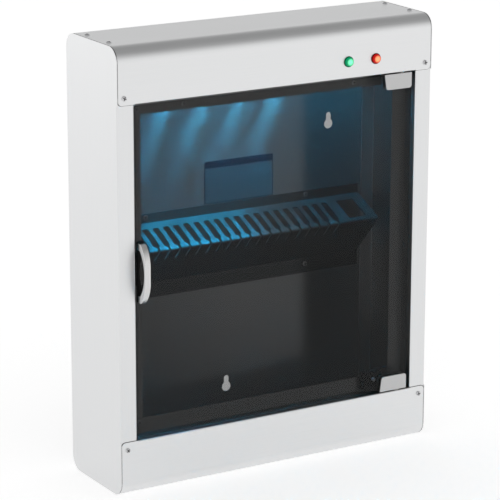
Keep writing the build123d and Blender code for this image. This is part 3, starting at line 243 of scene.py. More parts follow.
# Scratches per metre along X, Y and Z: few and long along the brushing, many across it.
BRUSHED_SIDEWAYS = (12, 1500, 1500)
BRUSHED_UPWARDS = (1500, 1500, 12)
BRUSHED_BACK = (8, 1200, 1200)
BRUSHED_TRAY = (12, 900, 900)
cover_steel = brushed_steel(
    "cover_steel", BRUSHED_SIDEWAYS, (0, 1, 1), (0.76, 0.765, 0.77), 0.36, 0.3, inside=cover_inside)
side_steel = brushed_steel(
    "side_steel", BRUSHED_UPWARDS, (1, 1, 0), (0.745, 0.75, 0.755), 0.36, 0.3, inside=side_inside)
back_steel = brushed_steel("back_steel", BRUSHED_BACK, (0, 0, 1), (0.36, 0.365, 0.37), 0.34, 1.0, metal=0.8)
guard_steel = brushed_steel("guard_steel", BRUSHED_BACK, (0, 1, 1), (0.35, 0.355, 0.36), 0.30, 0.5)
rack_steel = brushed_steel("rack_steel", BRUSHED_SIDEWAYS, (0, 1, 1), (0.12, 0.125, 0.13), 0.36, 0.9)
tray_steel = brushed_steel("tray_steel", BRUSHED_TRAY, (0, 1, 1), (0.60, 0.61, 0.62), 0.40, 0.2)
dress(["top_cover", "bottom_cover"], cover_steel)
dress(["side_panel_left", "side_panel_right"], side_steel)
dress(["back_panel"], back_steel)
dress(["lamp_guard"], guard_steel)
dress(["knife_rack"], rack_steel)
dress(["gear_tray"], tray_steel)
print("steel finishes:", len([m for m in bpy.data.materials if m.name.endswith("steel")]))

# %% [markdown]
# The door is a sheet of smoked glass. Most light goes straight through and is dimmed by the tint,
# and the surface mirrors a little of the room. Bent rays through a thin flat pane change nothing that
# shows, so a dark glossy shader with a low alpha gives the same picture without their noise.


# %% Smoked glass
def smoked_glass(name, colour, alpha, rough):
    """Dark see-through glass with mirrored light on top."""
    material, tree = new_material(name)
    haze = stretched_noise(tree, (6, 6, 6), 2.0)
    dull = ramp(tree, haze.outputs["Fac"], [(0.3, rough), (0.7, rough * 1.6)])
    shader = node(tree, "BsdfPrincipled", {
        "Base Color": (colour[0], colour[1], colour[2], 1.0),
        "Roughness": dull.outputs[0],
        "IOR": 1.45,
        "Specular IOR Level": 0.3,
        "Alpha": alpha,
    })
    show(tree, shader)
    return material


door_tint = smoked_glass("door_tint", (0.004, 0.005, 0.005), 0.45, 0.015)
dress(["door_glass"], door_tint)
print("door glass dressed")

# %% [markdown]
# The small parts are moulded plastic, rubber, paint and turned metal. A fine noise in the roughness
# and a faint bump keep them from looking like flat colour close up.


# %% Plastics, rubber and small metal
def moulded(name, colour, rough, grain=900.0, bump_height=0.00005, metal=0.0, vary=0.08, shine=0.5):
    """Moulded or painted surface with a fine grain."""
    material, tree = new_material(name)
    grains = stretched_noise(tree, (grain, grain, grain), 2.0)
    shade = ramp(tree, grains.outputs["Fac"], [
        (0.3, tuple(c * (1.0 - vary) for c in colour)),
        (0.7, tuple(min(1.0, c * (1.0 + vary)) for c in colour)),
    ])
    dull = ramp(tree, grains.outputs["Fac"], [(0.3, rough * 0.9), (0.7, min(1.0, rough * 1.1))])
    bump = node(tree, "Bump", {"Height": grains.outputs["Fac"], "Strength": 0.15, "Distance": bump_height})
    shader = node(tree, "BsdfPrincipled", {
        "Base Color": shade.outputs[0],
        "Roughness": dull.outputs[0],
        "Metallic": metal,
        "Specular IOR Level": shine,
        "Normal": bump.outputs[0],
    })
    show(tree, shader)
    return material


black_plastic = moulded("black_plastic", (0.012, 0.012, 0.013), 0.45)
white_plastic = moulded("white_plastic", (0.72, 0.72, 0.70), 0.35)
bush_plastic = moulded("bush_plastic", (0.60, 0.60, 0.57), 0.50)
gasket_rubber = moulded("gasket_rubber", (0.02, 0.02, 0.02), 0.70)
lead_rubber = moulded("lead_rubber", (0.05, 0.05, 0.06), 0.55)
ballast_paint = moulded("ballast_paint", (0.75, 0.75, 0.73), 0.40)
hinge_metal = moulded("hinge_metal", (0.52, 0.52, 0.52), 0.40, metal=1.0, vary=0.02)
handle_metal = moulded("handle_metal", (0.66, 0.66, 0.66), 0.22, metal=1.0, vary=0.02)
base_black = moulded("base_black", (0.002, 0.002, 0.002), 0.55, shine=0.12)
screw_metal = moulded("screw_metal", (0.60, 0.60, 0.61), 0.30, metal=1.0, vary=0.05)
cap_metal = moulded("cap_metal", (0.70, 0.70, 0.71), 0.35, metal=1.0, vary=0.03)
pin_brass = moulded("pin_brass", (0.75, 0.58, 0.28), 0.30, metal=1.0, vary=0.05)
dark_strike = moulded("dark_strike", (0.20, 0.20, 0.20), 0.40, metal=1.0, vary=0.03)
magnet_grey = moulded("magnet_grey", (0.08, 0.08, 0.085), 0.50, metal=0.6)
dress(["handle_base"], base_black)
dress(["catch_body", "door_switch", "cord_bush", "green_button_switch", "red_button_switch"], black_plastic)
dress(["lamp_sockets", "starter", "starter_holder", "terminal_block", "door_switch_plunger"], white_plastic)
dress(["hinge_bushes"], bush_plastic)
dress(["clamp_gaskets"], gasket_rubber)
dress(["button_leads", "ballast_leads", "lamp_leads", "door_switch_lead"], lead_rubber)
dress(["ballast"], ballast_paint)
dress(["hinge_clamp_top", "hinge_clamp_bottom"], hinge_metal)
dress(["handle_bow"], handle_metal)
dress(["rack_screws", "cover_screws", "stop_screws", "ballast_screws", "clamp_set_screws"], screw_metal)
dress(["strike_plate"], dark_strike)
dress(["green_button_nut", "red_button_nut", "tube_caps"], cap_metal)
dress(["tube_pins"], pin_brass)
dress(["catch_magnet"], magnet_grey)
print("moulded finishes done")

# %% [markdown]
# A thin card is stuck on the back panel above the rack: a grey field with a dark blue band along its
# top and a fine frame. The place on the cabinet tells the band and the frame from the field, so one
# material with a few comparisons draws it.

# %% Card
CARD_MIDDLE = (0.020, 0.3735)
CARD_HALF = (0.055, 0.030)
CARD_BAND = 0.010
CARD_FRAME = 0.0012
CARD_INK = (0.03, 0.05, 0.09, 1.0)


def card_material():
    """A grey card with a band along its top and a thin frame."""
    material, tree = new_material("card_print")
    place = node(tree, "TexCoord")
    axes = node(tree, "SeparateXYZ", {0: place.outputs["Object"]})
    across = maths(tree, "SUBTRACT", axes.outputs["X"], CARD_MIDDLE[0])
    up = maths(tree, "SUBTRACT", axes.outputs["Z"], CARD_MIDDLE[1])
    in_band = maths(tree, "GREATER_THAN", up, CARD_HALF[1] - CARD_BAND)
    at_side = maths(tree, "GREATER_THAN", maths(tree, "ABSOLUTE", across), CARD_HALF[0] - CARD_FRAME)
    at_end = maths(tree, "GREATER_THAN", maths(tree, "ABSOLUTE", up), CARD_HALF[1] - CARD_FRAME)
    ink = maths(tree, "MAXIMUM", in_band, maths(tree, "MAXIMUM", at_side, at_end))
    grain = stretched_noise(tree, (1500, 1500, 1500), 2.0)
    field = ramp(tree, grain.outputs["Fac"], [(0.3, (0.24, 0.25, 0.27)), (0.7, (0.27, 0.28, 0.30))])
    shade = node(tree, "Mix", {0: ink, 6: field.outputs[0], 7: CARD_INK}, data_type="RGBA")
    shader = node(tree, "BsdfPrincipled", {"Base Color": shade.outputs[2], "Roughness": 0.45})
    show(tree, shader)
    return material


dress(["label_card"], card_material())
print("card dressed")

# %% [markdown]
# Small things that repeat are made with Geometry Nodes. Each piece starts from a guide, a mesh of
# bare points and edges that carries numbers such as the direction a screw faces. A node tree grows
# the piece on it, and the result is turned into a plain mesh that rides on its body.


# %% Helpers for Geometry Nodes
def geo(tree, kind, inputs=None, **settings):
    """A Geometry Nodes node with some inputs set or linked."""
    return node(tree, kind, inputs, family="GeometryNode", **settings)


def function(tree, kind, inputs=None, **settings):
    """A function node with some inputs set or linked."""
    return node(tree, kind, inputs, family="FunctionNode", **settings)


def new_geometry_tree(name, sizes):
    """A tree that takes a guide and named sizes; gives the tree and its inputs."""
    tree = bpy.data.node_groups.new(name, "GeometryNodeTree")
    tree.interface.new_socket("Guide", in_out="INPUT", socket_type="NodeSocketGeometry")
    for label in sizes:
        tree.interface.new_socket(label, in_out="INPUT", socket_type="NodeSocketFloat")
    tree.interface.new_socket("Piece", in_out="OUTPUT", socket_type="NodeSocketGeometry")
    return tree, tree.nodes.new("NodeGroupInput").outputs


def end_tree(tree, geometry, material, keep=None):
    """Realizes instances, sets the material except on faces of the kept one, and links the output."""
    real = geo(tree, "RealizeInstances", {"Geometry": geometry})
    finish = geo(tree, "SetMaterial", {"Geometry": real.outputs[0], "Material": material})
    if keep:
        kept = geo(tree, "MaterialSelection", {"Material": keep})
        rest = function(tree, "BooleanMath", {0: kept.outputs[0]}, operation="NOT")
        tree.links.new(rest.outputs[0], finish.inputs["Selection"])
    tree.links.new(finish.outputs[0], tree.nodes.new("NodeGroupOutput").inputs[0])


def guide_mesh(name, points, edges=(), bends=None, directions=None):
    """Points in metres, with optional edges, one bend radius and one direction for each point."""
    mesh = bpy.data.meshes.new(name)
    mesh.from_pydata([tuple(p) for p in points], list(edges), [])
    if bends:
        mesh.attributes.new("bend", "FLOAT", "POINT").data.foreach_set("value", bends)
    if directions:
        flat = [v for direction in directions for v in direction]
        mesh.attributes.new("facing", "FLOAT_VECTOR", "POINT").data.foreach_set("vector", flat)
    return mesh


def grow(name, guide, tree, sizes, body, sharp_angle=35):
    """Runs the tree on the guide and keeps the result as a plain mesh on a body."""
    holder = bpy.data.objects.new(name + "_guide", guide)
    bpy.context.scene.collection.objects.link(holder)
    modifier = holder.modifiers.new("grow", "NODES")
    modifier.node_group = tree
    for item in tree.interface.items_tree:
        if item.in_out == "INPUT" and item.name in sizes:
            modifier[item.identifier] = sizes[item.name]
    evaluated = holder.evaluated_get(bpy.context.evaluated_depsgraph_get())
    mesh = bpy.data.meshes.new_from_object(evaluated)
    mesh.shade_smooth()
    mesh.set_sharp_from_angle(angle=math.radians(sharp_angle))
    bpy.data.objects.remove(holder)
    piece = bpy.data.objects.new(name, mesh)
    bpy.context.scene.collection.objects.link(piece)
    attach(piece, body)
    print(name, "faces:", len(mesh.polygons))
    return piece


MM = 0.001

# %% [markdown]
# The screws have domed pan heads with a cross recess. One screw is built in the tree, a turned disc
# whose rim is pressed down and whose cross is cut by two bars, and it is placed on every point of the
# guide. The bars leave near-black faces in the cross, painted shade in the recess. A seeded random
# turn gives each screw its own cross, as hands leave them.

# %% Screws
HEAD_RADIUS = 3.4 * MM
HEAD_HEIGHT = 1.8 * MM
SHANK_RADIUS = 1.9 * MM
CROSS_LENGTH = 5.0 * MM
CROSS_WIDTH = 1.2 * MM
CROSS_DEPTH = 1.2 * MM
DOME_POWER = 4.0          # a higher power keeps the head flat for longer
DOME_DROP = 0.45          # share of its height that the head's rim loses
SHANK_SINK = 0.49         # puts the shank's top just inside the head
TURN_SEED = 7
# Near-black for the faces of the cross: painted shade in the recess.
recess_painted_shade = moulded("recess_painted_shade", (0.012, 0.012, 0.012), 0.6)


def screw_tree():
    """The tree that grows a screw on each point, facing along the point's direction."""
    tree, given = new_geometry_tree("screws", ["Head Radius", "Head Height", "Shank Length", "Cross Width"])
    radius = given["Head Radius"]
    height = given["Head Height"]
    disc = geo(tree, "MeshCylinder", {
        "Vertices": 40, "Side Segments": 4, "Fill Segments": 6, "Radius": radius, "Depth": height,
    })
    lift = node(tree, "CombineXYZ", {"Z": maths(tree, "MULTIPLY", height, 0.5)})
    seated = geo(tree, "SetPosition", {"Geometry": disc.outputs["Mesh"], "Offset": lift.outputs[0]})
    place = geo(tree, "InputPosition")
    flat = node(tree, "VectorMath", {0: place.outputs[0], 1: (1.0, 1.0, 0.0)}, operation="MULTIPLY")
    reach = node(tree, "VectorMath", {0: flat.outputs[0]}, operation="LENGTH")
    share = maths(tree, "DIVIDE", reach.outputs["Value"], radius)
    steep = maths(tree, "POWER", share, DOME_POWER)
    level = node(tree, "SeparateXYZ", {0: place.outputs[0]})
    drop = maths(tree, "MULTIPLY", steep, level.outputs["Z"])
    down = node(tree, "CombineXYZ", {"Z": maths(tree, "MULTIPLY", drop, -DOME_DROP)})
    head = geo(tree, "SetPosition", {"Geometry": seated.outputs[0], "Offset": down.outputs[0]})
    width = given["Cross Width"]
    top = node(tree, "CombineXYZ", {"Z": height})
    bars = []
    for along_x in (True, False):
        sides = {"X": CROSS_LENGTH, "Y": width} if along_x else {"X": width, "Y": CROSS_LENGTH}
        size = node(tree, "CombineXYZ", {**sides, "Z": 2 * CROSS_DEPTH})
        bar = geo(tree, "MeshCube", {"Size": size.outputs[0]})
        raised = geo(tree, "Transform", {"Geometry": bar.outputs["Mesh"], "Translation": top.outputs[0]})
        dark = geo(tree, "SetMaterial", {"Geometry": raised.outputs[0], "Material": recess_painted_shade})
        bars.append(dark.outputs[0])
    cut = head.outputs[0]
    for bar in bars:
        cutting = geo(tree, "MeshBoolean", {0: cut, 1: bar}, operation="DIFFERENCE", solver="MANIFOLD")
        cut = cutting.outputs["Mesh"]
    shank_length = given["Shank Length"]
    shank = geo(tree, "MeshCylinder", {"Vertices": 24, "Radius": SHANK_RADIUS, "Depth": shank_length})
    sink = node(tree, "CombineXYZ", {"Z": maths(tree, "MULTIPLY", shank_length, -SHANK_SINK)})
    sunk = geo(tree, "Transform", {"Geometry": shank.outputs["Mesh"], "Translation": sink.outputs[0]})
    screw = geo(tree, "JoinGeometry")
    tree.links.new(cut, screw.inputs[0])
    tree.links.new(sunk.outputs[0], screw.inputs[0])
    facing = geo(tree, "InputNamedAttribute", {"Name": "facing"}, data_type="FLOAT_VECTOR")
    aim = function(tree, "AlignRotationToVector", {"Vector": facing.outputs[0]}, axis="Z")
    turn = function(tree, "RandomValue", {
        "Min": 0.0, "Max": math.pi / 2, "Seed": TURN_SEED,
    }, data_type="FLOAT")
    spin = function(tree, "AxisAngleToRotation", {"Axis": (0.0, 0.0, 1.0), "Angle": turn.outputs[1]})
    turned = function(tree, "RotateRotation", {
        "Rotation": aim.outputs[0], "Rotate By": spin.outputs[0],
    }, rotation_space="LOCAL")
    placed = geo(tree, "InstanceOnPoints", {
        "Points": given["Guide"], "Instance": screw.outputs[0], "Rotation": turned.outputs[0],
    })
    end_tree(tree, placed.outputs[0], screw_metal, keep=recess_painted_shade)
    return tree


FORWARD = (0.0, -1.0, 0.0)
UPWARD = (0.0, 0.0, 1.0)
COVER_SCREW_X = 0.232
COVER_SCREW_HEIGHTS = (0.5393, 0.065)
CABINET_TOP = 0.605
CABINET_FRONT = -0.070
TOP_SCREW_Y = 0.030
STOP_FRONT = -0.046
STOP_SCREW_X = 0.2015
GUARD_SCREW_X = 0.132
STOP_SCREW_HEIGHTS = (0.518, 0.092)
RACK_SCREW_X = 0.128
RACK_SCREW_Y = 0.068
RACK_SCREW_HEIGHTS = (0.338, 0.2365)
sides = (-1, 1)
cover_points = [(s * COVER_SCREW_X, CABINET_FRONT, z) for s in sides for z in COVER_SCREW_HEIGHTS]
top_points = [(s * COVER_SCREW_X, t * TOP_SCREW_Y, CABINET_TOP) for s in sides for t in sides]
stop_points = [(s * STOP_SCREW_X, STOP_FRONT, z) for s in sides for z in STOP_SCREW_HEIGHTS]
stop_points += [(s * GUARD_SCREW_X, STOP_FRONT, STOP_SCREW_HEIGHTS[0]) for s in sides]
rack_points = [(s * RACK_SCREW_X, RACK_SCREW_Y, z) for s in sides for z in RACK_SCREW_HEIGHTS]
screws_tree = screw_tree()


def place_screws(name, points, directions, shank):
    """Grows one group of screws in place of the solids of the same name."""
    guide = guide_mesh(name, points, directions=directions)
    piece = grow(name + "_turned", guide, screws_tree, {
        "Head Radius": HEAD_RADIUS,
        "Head Height": HEAD_HEIGHT,
        "Shank Length": shank,
        "Cross Width": CROSS_WIDTH,
    }, "cabinet")
    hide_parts(name)


LONG_SHANK = 4 * MM
SHORT_SHANK = 2 * MM
cover_facing = [FORWARD] * len(cover_points) + [UPWARD] * len(top_points)
place_screws("cover_screws", cover_points + top_points, cover_facing, LONG_SHANK)
place_screws("stop_screws", stop_points, [FORWARD] * len(stop_points), SHORT_SHANK)
place_screws("rack_screws", rack_points, [FORWARD] * len(rack_points), SHORT_SHANK)

# %% [markdown]
# The knife rack is one folded sheet with twenty slots: each is wide over most of the upper plate, for
# the blade's heel, and a narrow slit runs from it over the front fold. A wide opening at each end takes
# scissors. The fold's outline is drawn once, rounded at its bends and pushed out to the rack's length,
# and rows of copied cutters take the slots out.

# %% Knife rack
RACK_HALF = 216.0 * MM
BACK_INSIDE = 69.0 * MM
RACK_FOLD = (14.5 * MM, 304.0 * MM)
RACK_TOP = 329.0 * MM
RACK_LOW = 245.5 * MM
RACK_TOP_FLANGE = 14.0 * MM
RACK_LOW_FLANGE = 22.0 * MM
RACK_BEND = 2.0 * MM
SLOT_COUNT = 20
SLOT_PITCH = 15.9 * MM
SLOT_WIDTH = 9.4 * MM
SLOT_CORNER = 2.5 * MM
SLIT_HALF = 1.8 * MM
SLOT_Y = (21.0 * MM, 57.0 * MM)
SLIT_START = 11.5 * MM
SLIT_END = 29.5 * MM
SLOT_Z = (302.0 * MM, 333.0 * MM)
SLIT_LOW = 282.7 * MM
SIDE_OPENING = (172.0 * MM, 200.0 * MM)
CORNER_STEPS = 6


def offset_corner(before, corner, after, distance):
    """The corner of a line drawn beside two runs at a distance, to their right."""
    first = (corner - before).normalized()
    second = (after - corner).normalized()
    middle = Vector((first.y + second.y, -first.x - second.x))
    return corner + middle * (2 * distance / middle.length_squared)


def fold_guide():
    """A closed guide along both faces of the folded sheet; each corner carries its bend radius.

    The first line is the face towards the back panel, and the second lies one sheet in front of it.
    """
    line = [
        Vector((BACK_INSIDE, RACK_TOP + RACK_TOP_FLANGE)),
        Vector((BACK_INSIDE, RACK_TOP)),
        Vector(RACK_FOLD),
        Vector((BACK_INSIDE, RACK_LOW)),
        Vector((BACK_INSIDE, RACK_LOW - RACK_LOW_FLANGE)),
    ]
    beyond = [line[0] + Vector((0, 1))] + line + [line[-1] - Vector((0, 1))]
    beside = [offset_corner(*beyond[i:i + 3], SHEET) for i in range(len(line))]
    corners = line + beside[::-1]
    tighter = RACK_BEND - SHEET
    wider = RACK_BEND + SHEET
    line_bends = [0.0, RACK_BEND, RACK_BEND, RACK_BEND, 0.0]
    beside_bends = [0.0, tighter, wider, tighter, 0.0]
    points = [(corner.x, corner.y, 0.0) for corner in corners]
    edges = [(i, (i + 1) % len(corners)) for i in range(len(corners))]
    return guide_mesh("rack_fold", points, edges, bends=line_bends + beside_bends)


def rounded(tree, guide, steps):
    """Turns a guide's edges into a curve and rounds its corners by their own radius."""
    curve = geo(tree, "MeshToCurve", {"Mesh": guide})
    bend = geo(tree, "InputNamedAttribute", {"Name": "bend"}, data_type="FLOAT")
    return geo(tree, "FilletCurve", {
        "Curve": curve.outputs[0], "Count": steps, "Radius": bend.outputs[0], "Limit Radius": True,
    }, mode="POLY").outputs[0]


def pushed_out(tree, outline, height):
    """A closed solid from a flat closed curve and a height along Z."""
    face = geo(tree, "FillCurve", {"Curve": outline}, mode="NGONS")
    rise = node(tree, "CombineXYZ", {"Z": height})
    walls = geo(tree, "ExtrudeMesh", {
        "Mesh": face.outputs[0], "Offset": rise.outputs[0], "Offset Scale": 1.0, "Individual": False,
    }, mode="FACES")
    floor = geo(tree, "FlipFaces", {"Mesh": face.outputs[0]})
    both = geo(tree, "JoinGeometry")
    tree.links.new(walls.outputs["Mesh"], both.inputs[0])
    tree.links.new(floor.outputs[0], both.inputs[0])
    return geo(tree, "MergeByDistance", {"Geometry": both.outputs[0], "Distance": 1e-6}).outputs[0]


def cutter_box(tree, x, y, z):
    """A box between two values along each axis, to cut with."""
    size = tuple(b - a for a, b in (x, y, z))
    middle = tuple((a + b) / 2 for a, b in (x, y, z))
    cube = geo(tree, "MeshCube", {"Size": size})
    return geo(tree, "Transform", {"Geometry": cube.outputs["Mesh"], "Translation": middle}).outputs[0]


def cut_row(tree, body, cutter, count, pitch):
    """Cuts a row of copies of one cutter, centred on X = 0."""
    gap = node(tree, "CombineXYZ", {"X": pitch})
    start = node(tree, "CombineXYZ", {"X": maths(tree, "MULTIPLY", pitch, -(count - 1) / 2)})
    row = geo(tree, "MeshLine", {
        "Count": count, "Start Location": start.outputs[0], "Offset": gap.outputs[0],
    })
    copies = geo(tree, "InstanceOnPoints", {"Points": row.outputs[0], "Instance": cutter})
    real = geo(tree, "RealizeInstances", {"Geometry": copies.outputs[0]})
    cut = geo(tree, "MeshBoolean", {0: body, 1: real.outputs[0]}, operation="DIFFERENCE", solver="MANIFOLD")
    return cut.outputs["Mesh"]


def rack_tree():
    """The tree that folds the rack's sheet and takes its slots out."""
    tree, given = new_geometry_tree("knife_rack", ["Length", "Slot Pitch", "Slot Width"])
    sheet = pushed_out(tree, rounded(tree, given["Guide"], CORNER_STEPS), given["Length"])
    start = node(tree, "CombineXYZ", {"X": maths(tree, "MULTIPLY", given["Length"], -0.5)})
    body = geo(tree, "Transform", {
        "Geometry": sheet, "Translation": start.outputs[0], "Rotation": (math.pi / 2, 0.0, math.pi / 2),
    }).outputs[0]
    wide_part = geo(tree, "CurvePrimitiveQuadrilateral", {
        "Width": given["Slot Width"], "Height": SLOT_Y[1] - SLOT_Y[0],
    })
    soft_part = geo(tree, "FilletCurve", {
        "Curve": wide_part.outputs[0], "Count": CORNER_STEPS, "Radius": SLOT_CORNER, "Limit Radius": True,
    }, mode="POLY")
    slot = geo(tree, "Transform", {
        "Geometry": pushed_out(tree, soft_part.outputs[0], SLOT_Z[1] - SLOT_Z[0]),
        "Translation": (0.0, sum(SLOT_Y) / 2, SLOT_Z[0]),
    }).outputs[0]
    slit = cutter_box(tree, (-SLIT_HALF, SLIT_HALF), (SLIT_START, SLIT_END), (SLIT_LOW, SLOT_Z[1]))
    for cutter in (slot, slit):
        body = cut_row(tree, body, cutter, SLOT_COUNT, given["Slot Pitch"])
    wide_half = (SIDE_OPENING[1] - SIDE_OPENING[0]) / 2
    wide = cutter_box(tree, (-wide_half, wide_half), SLOT_Y, SLOT_Z)
    body = cut_row(tree, body, wide, 2, sum(SIDE_OPENING))
    end_tree(tree, body, rack_steel)
    return tree


rack = grow("slotted_rack", fold_guide(), rack_tree(), {
    "Length": 2 * RACK_HALF, "Slot Pitch": SLOT_PITCH, "Slot Width": SLOT_WIDTH,
}, "cabinet")
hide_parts("knife_rack")

# %% [markdown]
# The covers end a hair's breadth from the side panels, and that seam shows as a crisp dark line. A
# thin near-black bead laid in the gap is painted shade for that line: a path follows the cover's edge
# over the front, round the bend and along the top, and a small round profile is swept along it.

# %% Seam beads of painted shade
BEAD_RADIUS = 0.6 * MM
SEAM_X = 241.2 * MM
CABINET_BACK = 70.0 * MM
CORNER_BEND = 20.0 * MM
COVER_CORNER = 5.5 * MM
OPENING_HALF = 217.5 * MM
REAR_EDGE_RUN = 50.0 * MM
BEAD_SINK = 0.45 * MM
OPENING_TOP = 0.530
OPENING_BOTTOM = 0.076
CABINET_BOTTOM = 0.0
PATH_STEPS = 8
# A near-black bead in the gap: painted shade for the seam's dark line.
seam_painted_shade = moulded("seam_painted_shade", (0.02, 0.02, 0.021), 0.55)


def bead_tree():
    """The tree that rounds the guide's corners and sweeps a round bead along it."""
    tree, given = new_geometry_tree("seam_shade_bead", ["Bead Radius"])
    path = rounded(tree, given["Guide"], PATH_STEPS)
    even = geo(tree, "SetCurveRadius", {"Curve": path, "Radius": 1.0})
    profile = geo(tree, "CurvePrimitiveCircle", {
        "Resolution": 10, "Radius": given["Bead Radius"],
    }, mode="RADIUS")
    bead = geo(tree, "CurveToMesh", {
        "Curve": even.outputs[0], "Profile Curve": profile.outputs[0], "Fill Caps": True,
    })
    end_tree(tree, bead.outputs[0], seam_painted_shade)
    return tree


def bead_guide(side, opening_z, end_z):
    """The path along one end of a cover, from the opening's edge to the cabinet's back."""
    up = 1.0 if end_z > opening_z else -1.0
    x = side * SEAM_X
    over = end_z - up * BEAD_SINK
    front = CABINET_FRONT + BEAD_SINK
    behind = CABINET_BACK - BEAD_RADIUS
    points = [
        (side * OPENING_HALF, front + SHEET / 2, opening_z),
        (x, front + SHEET / 2, opening_z),
        (x, front, opening_z + up * 2 * COVER_CORNER),
        (x, front, over),
        (x, behind, over),
        (x, behind, end_z - up * REAR_EDGE_RUN),
    ]
    bends = [0.0, COVER_CORNER, 0.0, CORNER_BEND, CORNER_BEND, 0.0]
    edges = [(i, i + 1) for i in range(len(points) - 1)]
    return guide_mesh("bead", points, edges, bends=bends)


bead = bead_tree()
bead_heights = (("upper", OPENING_TOP, CABINET_TOP), ("lower", OPENING_BOTTOM, CABINET_BOTTOM))
for side, word in ((-1, "left"), (1, "right")):
    for level, start_z, end_z in bead_heights:
        guide = bead_guide(side, start_z, end_z)
        piece = grow(level + "_bead_" + word, guide, bead, {"Bead Radius": BEAD_RADIUS}, "cabinet")

# %% [markdown]
# The buttons are lit domes. Their glow is real, but the pale middle is partly a painted highlight and
# the deep rim is painted shade of the dome; both follow the distance from the button's own centre,
# read from Object coordinates. The ring round each dome takes the rim's dark colour, painted shade too.


# %% Lit buttons
CAP_RADIUS = 6.2 * MM
CAP_GLOW = 0.95
# Pale middles: the lit glow with a painted highlight; dark rims: painted shade of the dome.
GREEN_MIDDLE = (0.20, 1.0, 0.50)
GREEN_RIM = (0.0, 0.20, 0.08)
RED_MIDDLE = (1.0, 0.34, 0.16)
RED_RIM = (0.34, 0.003, 0.002)


def lit_button(name, centre, rim, middle):
    """A cap that glows, with a painted highlight in its middle and painted shade at its rim."""
    material, tree = new_material(name)
    place = node(tree, "TexCoord")
    shift = node(tree, "VectorMath", {0: place.outputs["Object"], 1: centre}, operation="SUBTRACT")
    flat = node(tree, "VectorMath", {0: shift.outputs[0], 1: (1.0, 0.0, 1.0)}, operation="MULTIPLY")
    reach = node(tree, "VectorMath", {0: flat.outputs[0]}, operation="LENGTH")
    share = maths(tree, "DIVIDE", reach.outputs["Value"], CAP_RADIUS)
    shade = ramp(tree, share, [(0.40, middle), (0.85, rim)])
    shader = node(tree, "BsdfPrincipled", {
        "Base Color": shade.outputs[0],
        "Roughness": 0.25,
        "Specular IOR Level": 0.15,
        "Emission Color": shade.outputs[0],
        "Emission Strength": CAP_GLOW,
    })
    show(tree, shader)
    return material


def box_centre(name):
    """The centre of a solid's box."""
    low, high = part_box(name)
    return tuple((low + high) / 2)


green_lens = lit_button("green_lens", box_centre("green_button_cap"), GREEN_RIM, GREEN_MIDDLE)
red_lens = lit_button("red_lens", box_centre("red_button_cap"), RED_RIM, RED_MIDDLE)
# The rings take the rims' dark colour: painted shade.
green_ring = moulded("green_ring", (0.003, 0.13, 0.05), 0.35, shine=0.1)
red_ring = moulded("red_ring", (0.15, 0.003, 0.002), 0.35, shine=0.1)
dress(["green_button_cap"], green_lens)
dress(["red_button_cap"], red_lens)
dress(["green_button_bezel"], green_ring)
dress(["red_button_bezel"], red_ring)
print("buttons dressed")

# %% [markdown]
# The lamp above the ceiling glows blue. The brushed sheets mirror its tube through the windows of the
# guard, so its material shines. It is kept from lighting matt surfaces, because a small bright tube
# behind small windows would leave the picture full of specks. Strips of light below the windows do
# that work, further down.

# %% Lamp
LAMP_COLOUR = (0.05, 0.56, 1.0)
LAMP_STRENGTH = 225.0


def lamp_material():
    """A tube that shines."""
    material, tree = new_material("lamp_glow")
    ends = stretched_noise(tree, (3, 3, 3), 1.0)
    shade = ramp(tree, ends.outputs["Fac"], [(0.2, (0.05, 0.55, 0.9)), (0.8, LAMP_COLOUR)])
    shader = node(tree, "BsdfPrincipled", {
        "Base Color": (0.5, 0.6, 0.7, 1.0),
        "Roughness": 0.2,
        "Emission Color": shade.outputs[0],
        "Emission Strength": LAMP_STRENGTH,
    })
    show(tree, shader)
    return material


dress(["lamp_tube"], lamp_material())
nodes["lamp_tube"].visible_diffuse = False
print("lamp lit")

# %% [markdown]
# The stage is a pale floor and a white world, as in a catalogue. Both are white to the camera, to
# mirrored rays and through the glass, and light the matt surfaces more softly. The floor's paint keeps
# the cabinet's shadow.


# %% Floor and world
FLOOR_HALF = 6.0
FLOOR_DROP = 0.0002
FLOOR_GREY = (0.78, 0.78, 0.78, 1.0)
FLOOR_GLOW = 0.54
WORLD_STRENGTH = 0.6
BLACK = (0.0, 0.0, 0.0, 1.0)
WHITE = (1.0, 1.0, 1.0, 1.0)


def seen_share(tree):
    """1 for rays from the camera, from a mirror or through glass, else 0."""
    path = node(tree, "LightPath")
    seen = maths(tree, "MAXIMUM", path.outputs["Is Camera Ray"], path.outputs["Is Glossy Ray"])
    return maths(tree, "MAXIMUM", seen, path.outputs["Is Transmission Ray"])


def add_floor():
    """A pale floor that isn't part of the object."""
    mesh = bpy.data.meshes.new("floor")
    corners = [(x * FLOOR_HALF, y * FLOOR_HALF, 0.0) for x, y in ((-1, -1), (1, -1), (1, 1), (-1, 1))]
    mesh.from_pydata(corners, [], [(0, 1, 2, 3)])
    floor = bpy.data.objects.new("floor", mesh)
    bpy.context.scene.collection.objects.link(floor)
    floor.location.z = cad_low[2] - FLOOR_DROP
    material, tree = new_material("floor_paint")
    paint = node(tree, "BsdfDiffuse", {"Color": FLOOR_GREY})
    glow = node(tree, "Emission", {"Color": WHITE, "Strength": FLOOR_GLOW})
    dark = node(tree, "Emission", {"Color": BLACK, "Strength": 0.0})
    choice = node(tree, "MixShader", {0: seen_share(tree), 1: dark.outputs[0], 2: glow.outputs[0]})
    both = node(tree, "AddShader", {0: paint.outputs[0], 1: choice.outputs[0]})
    show(tree, both)
    mesh.materials.append(material)


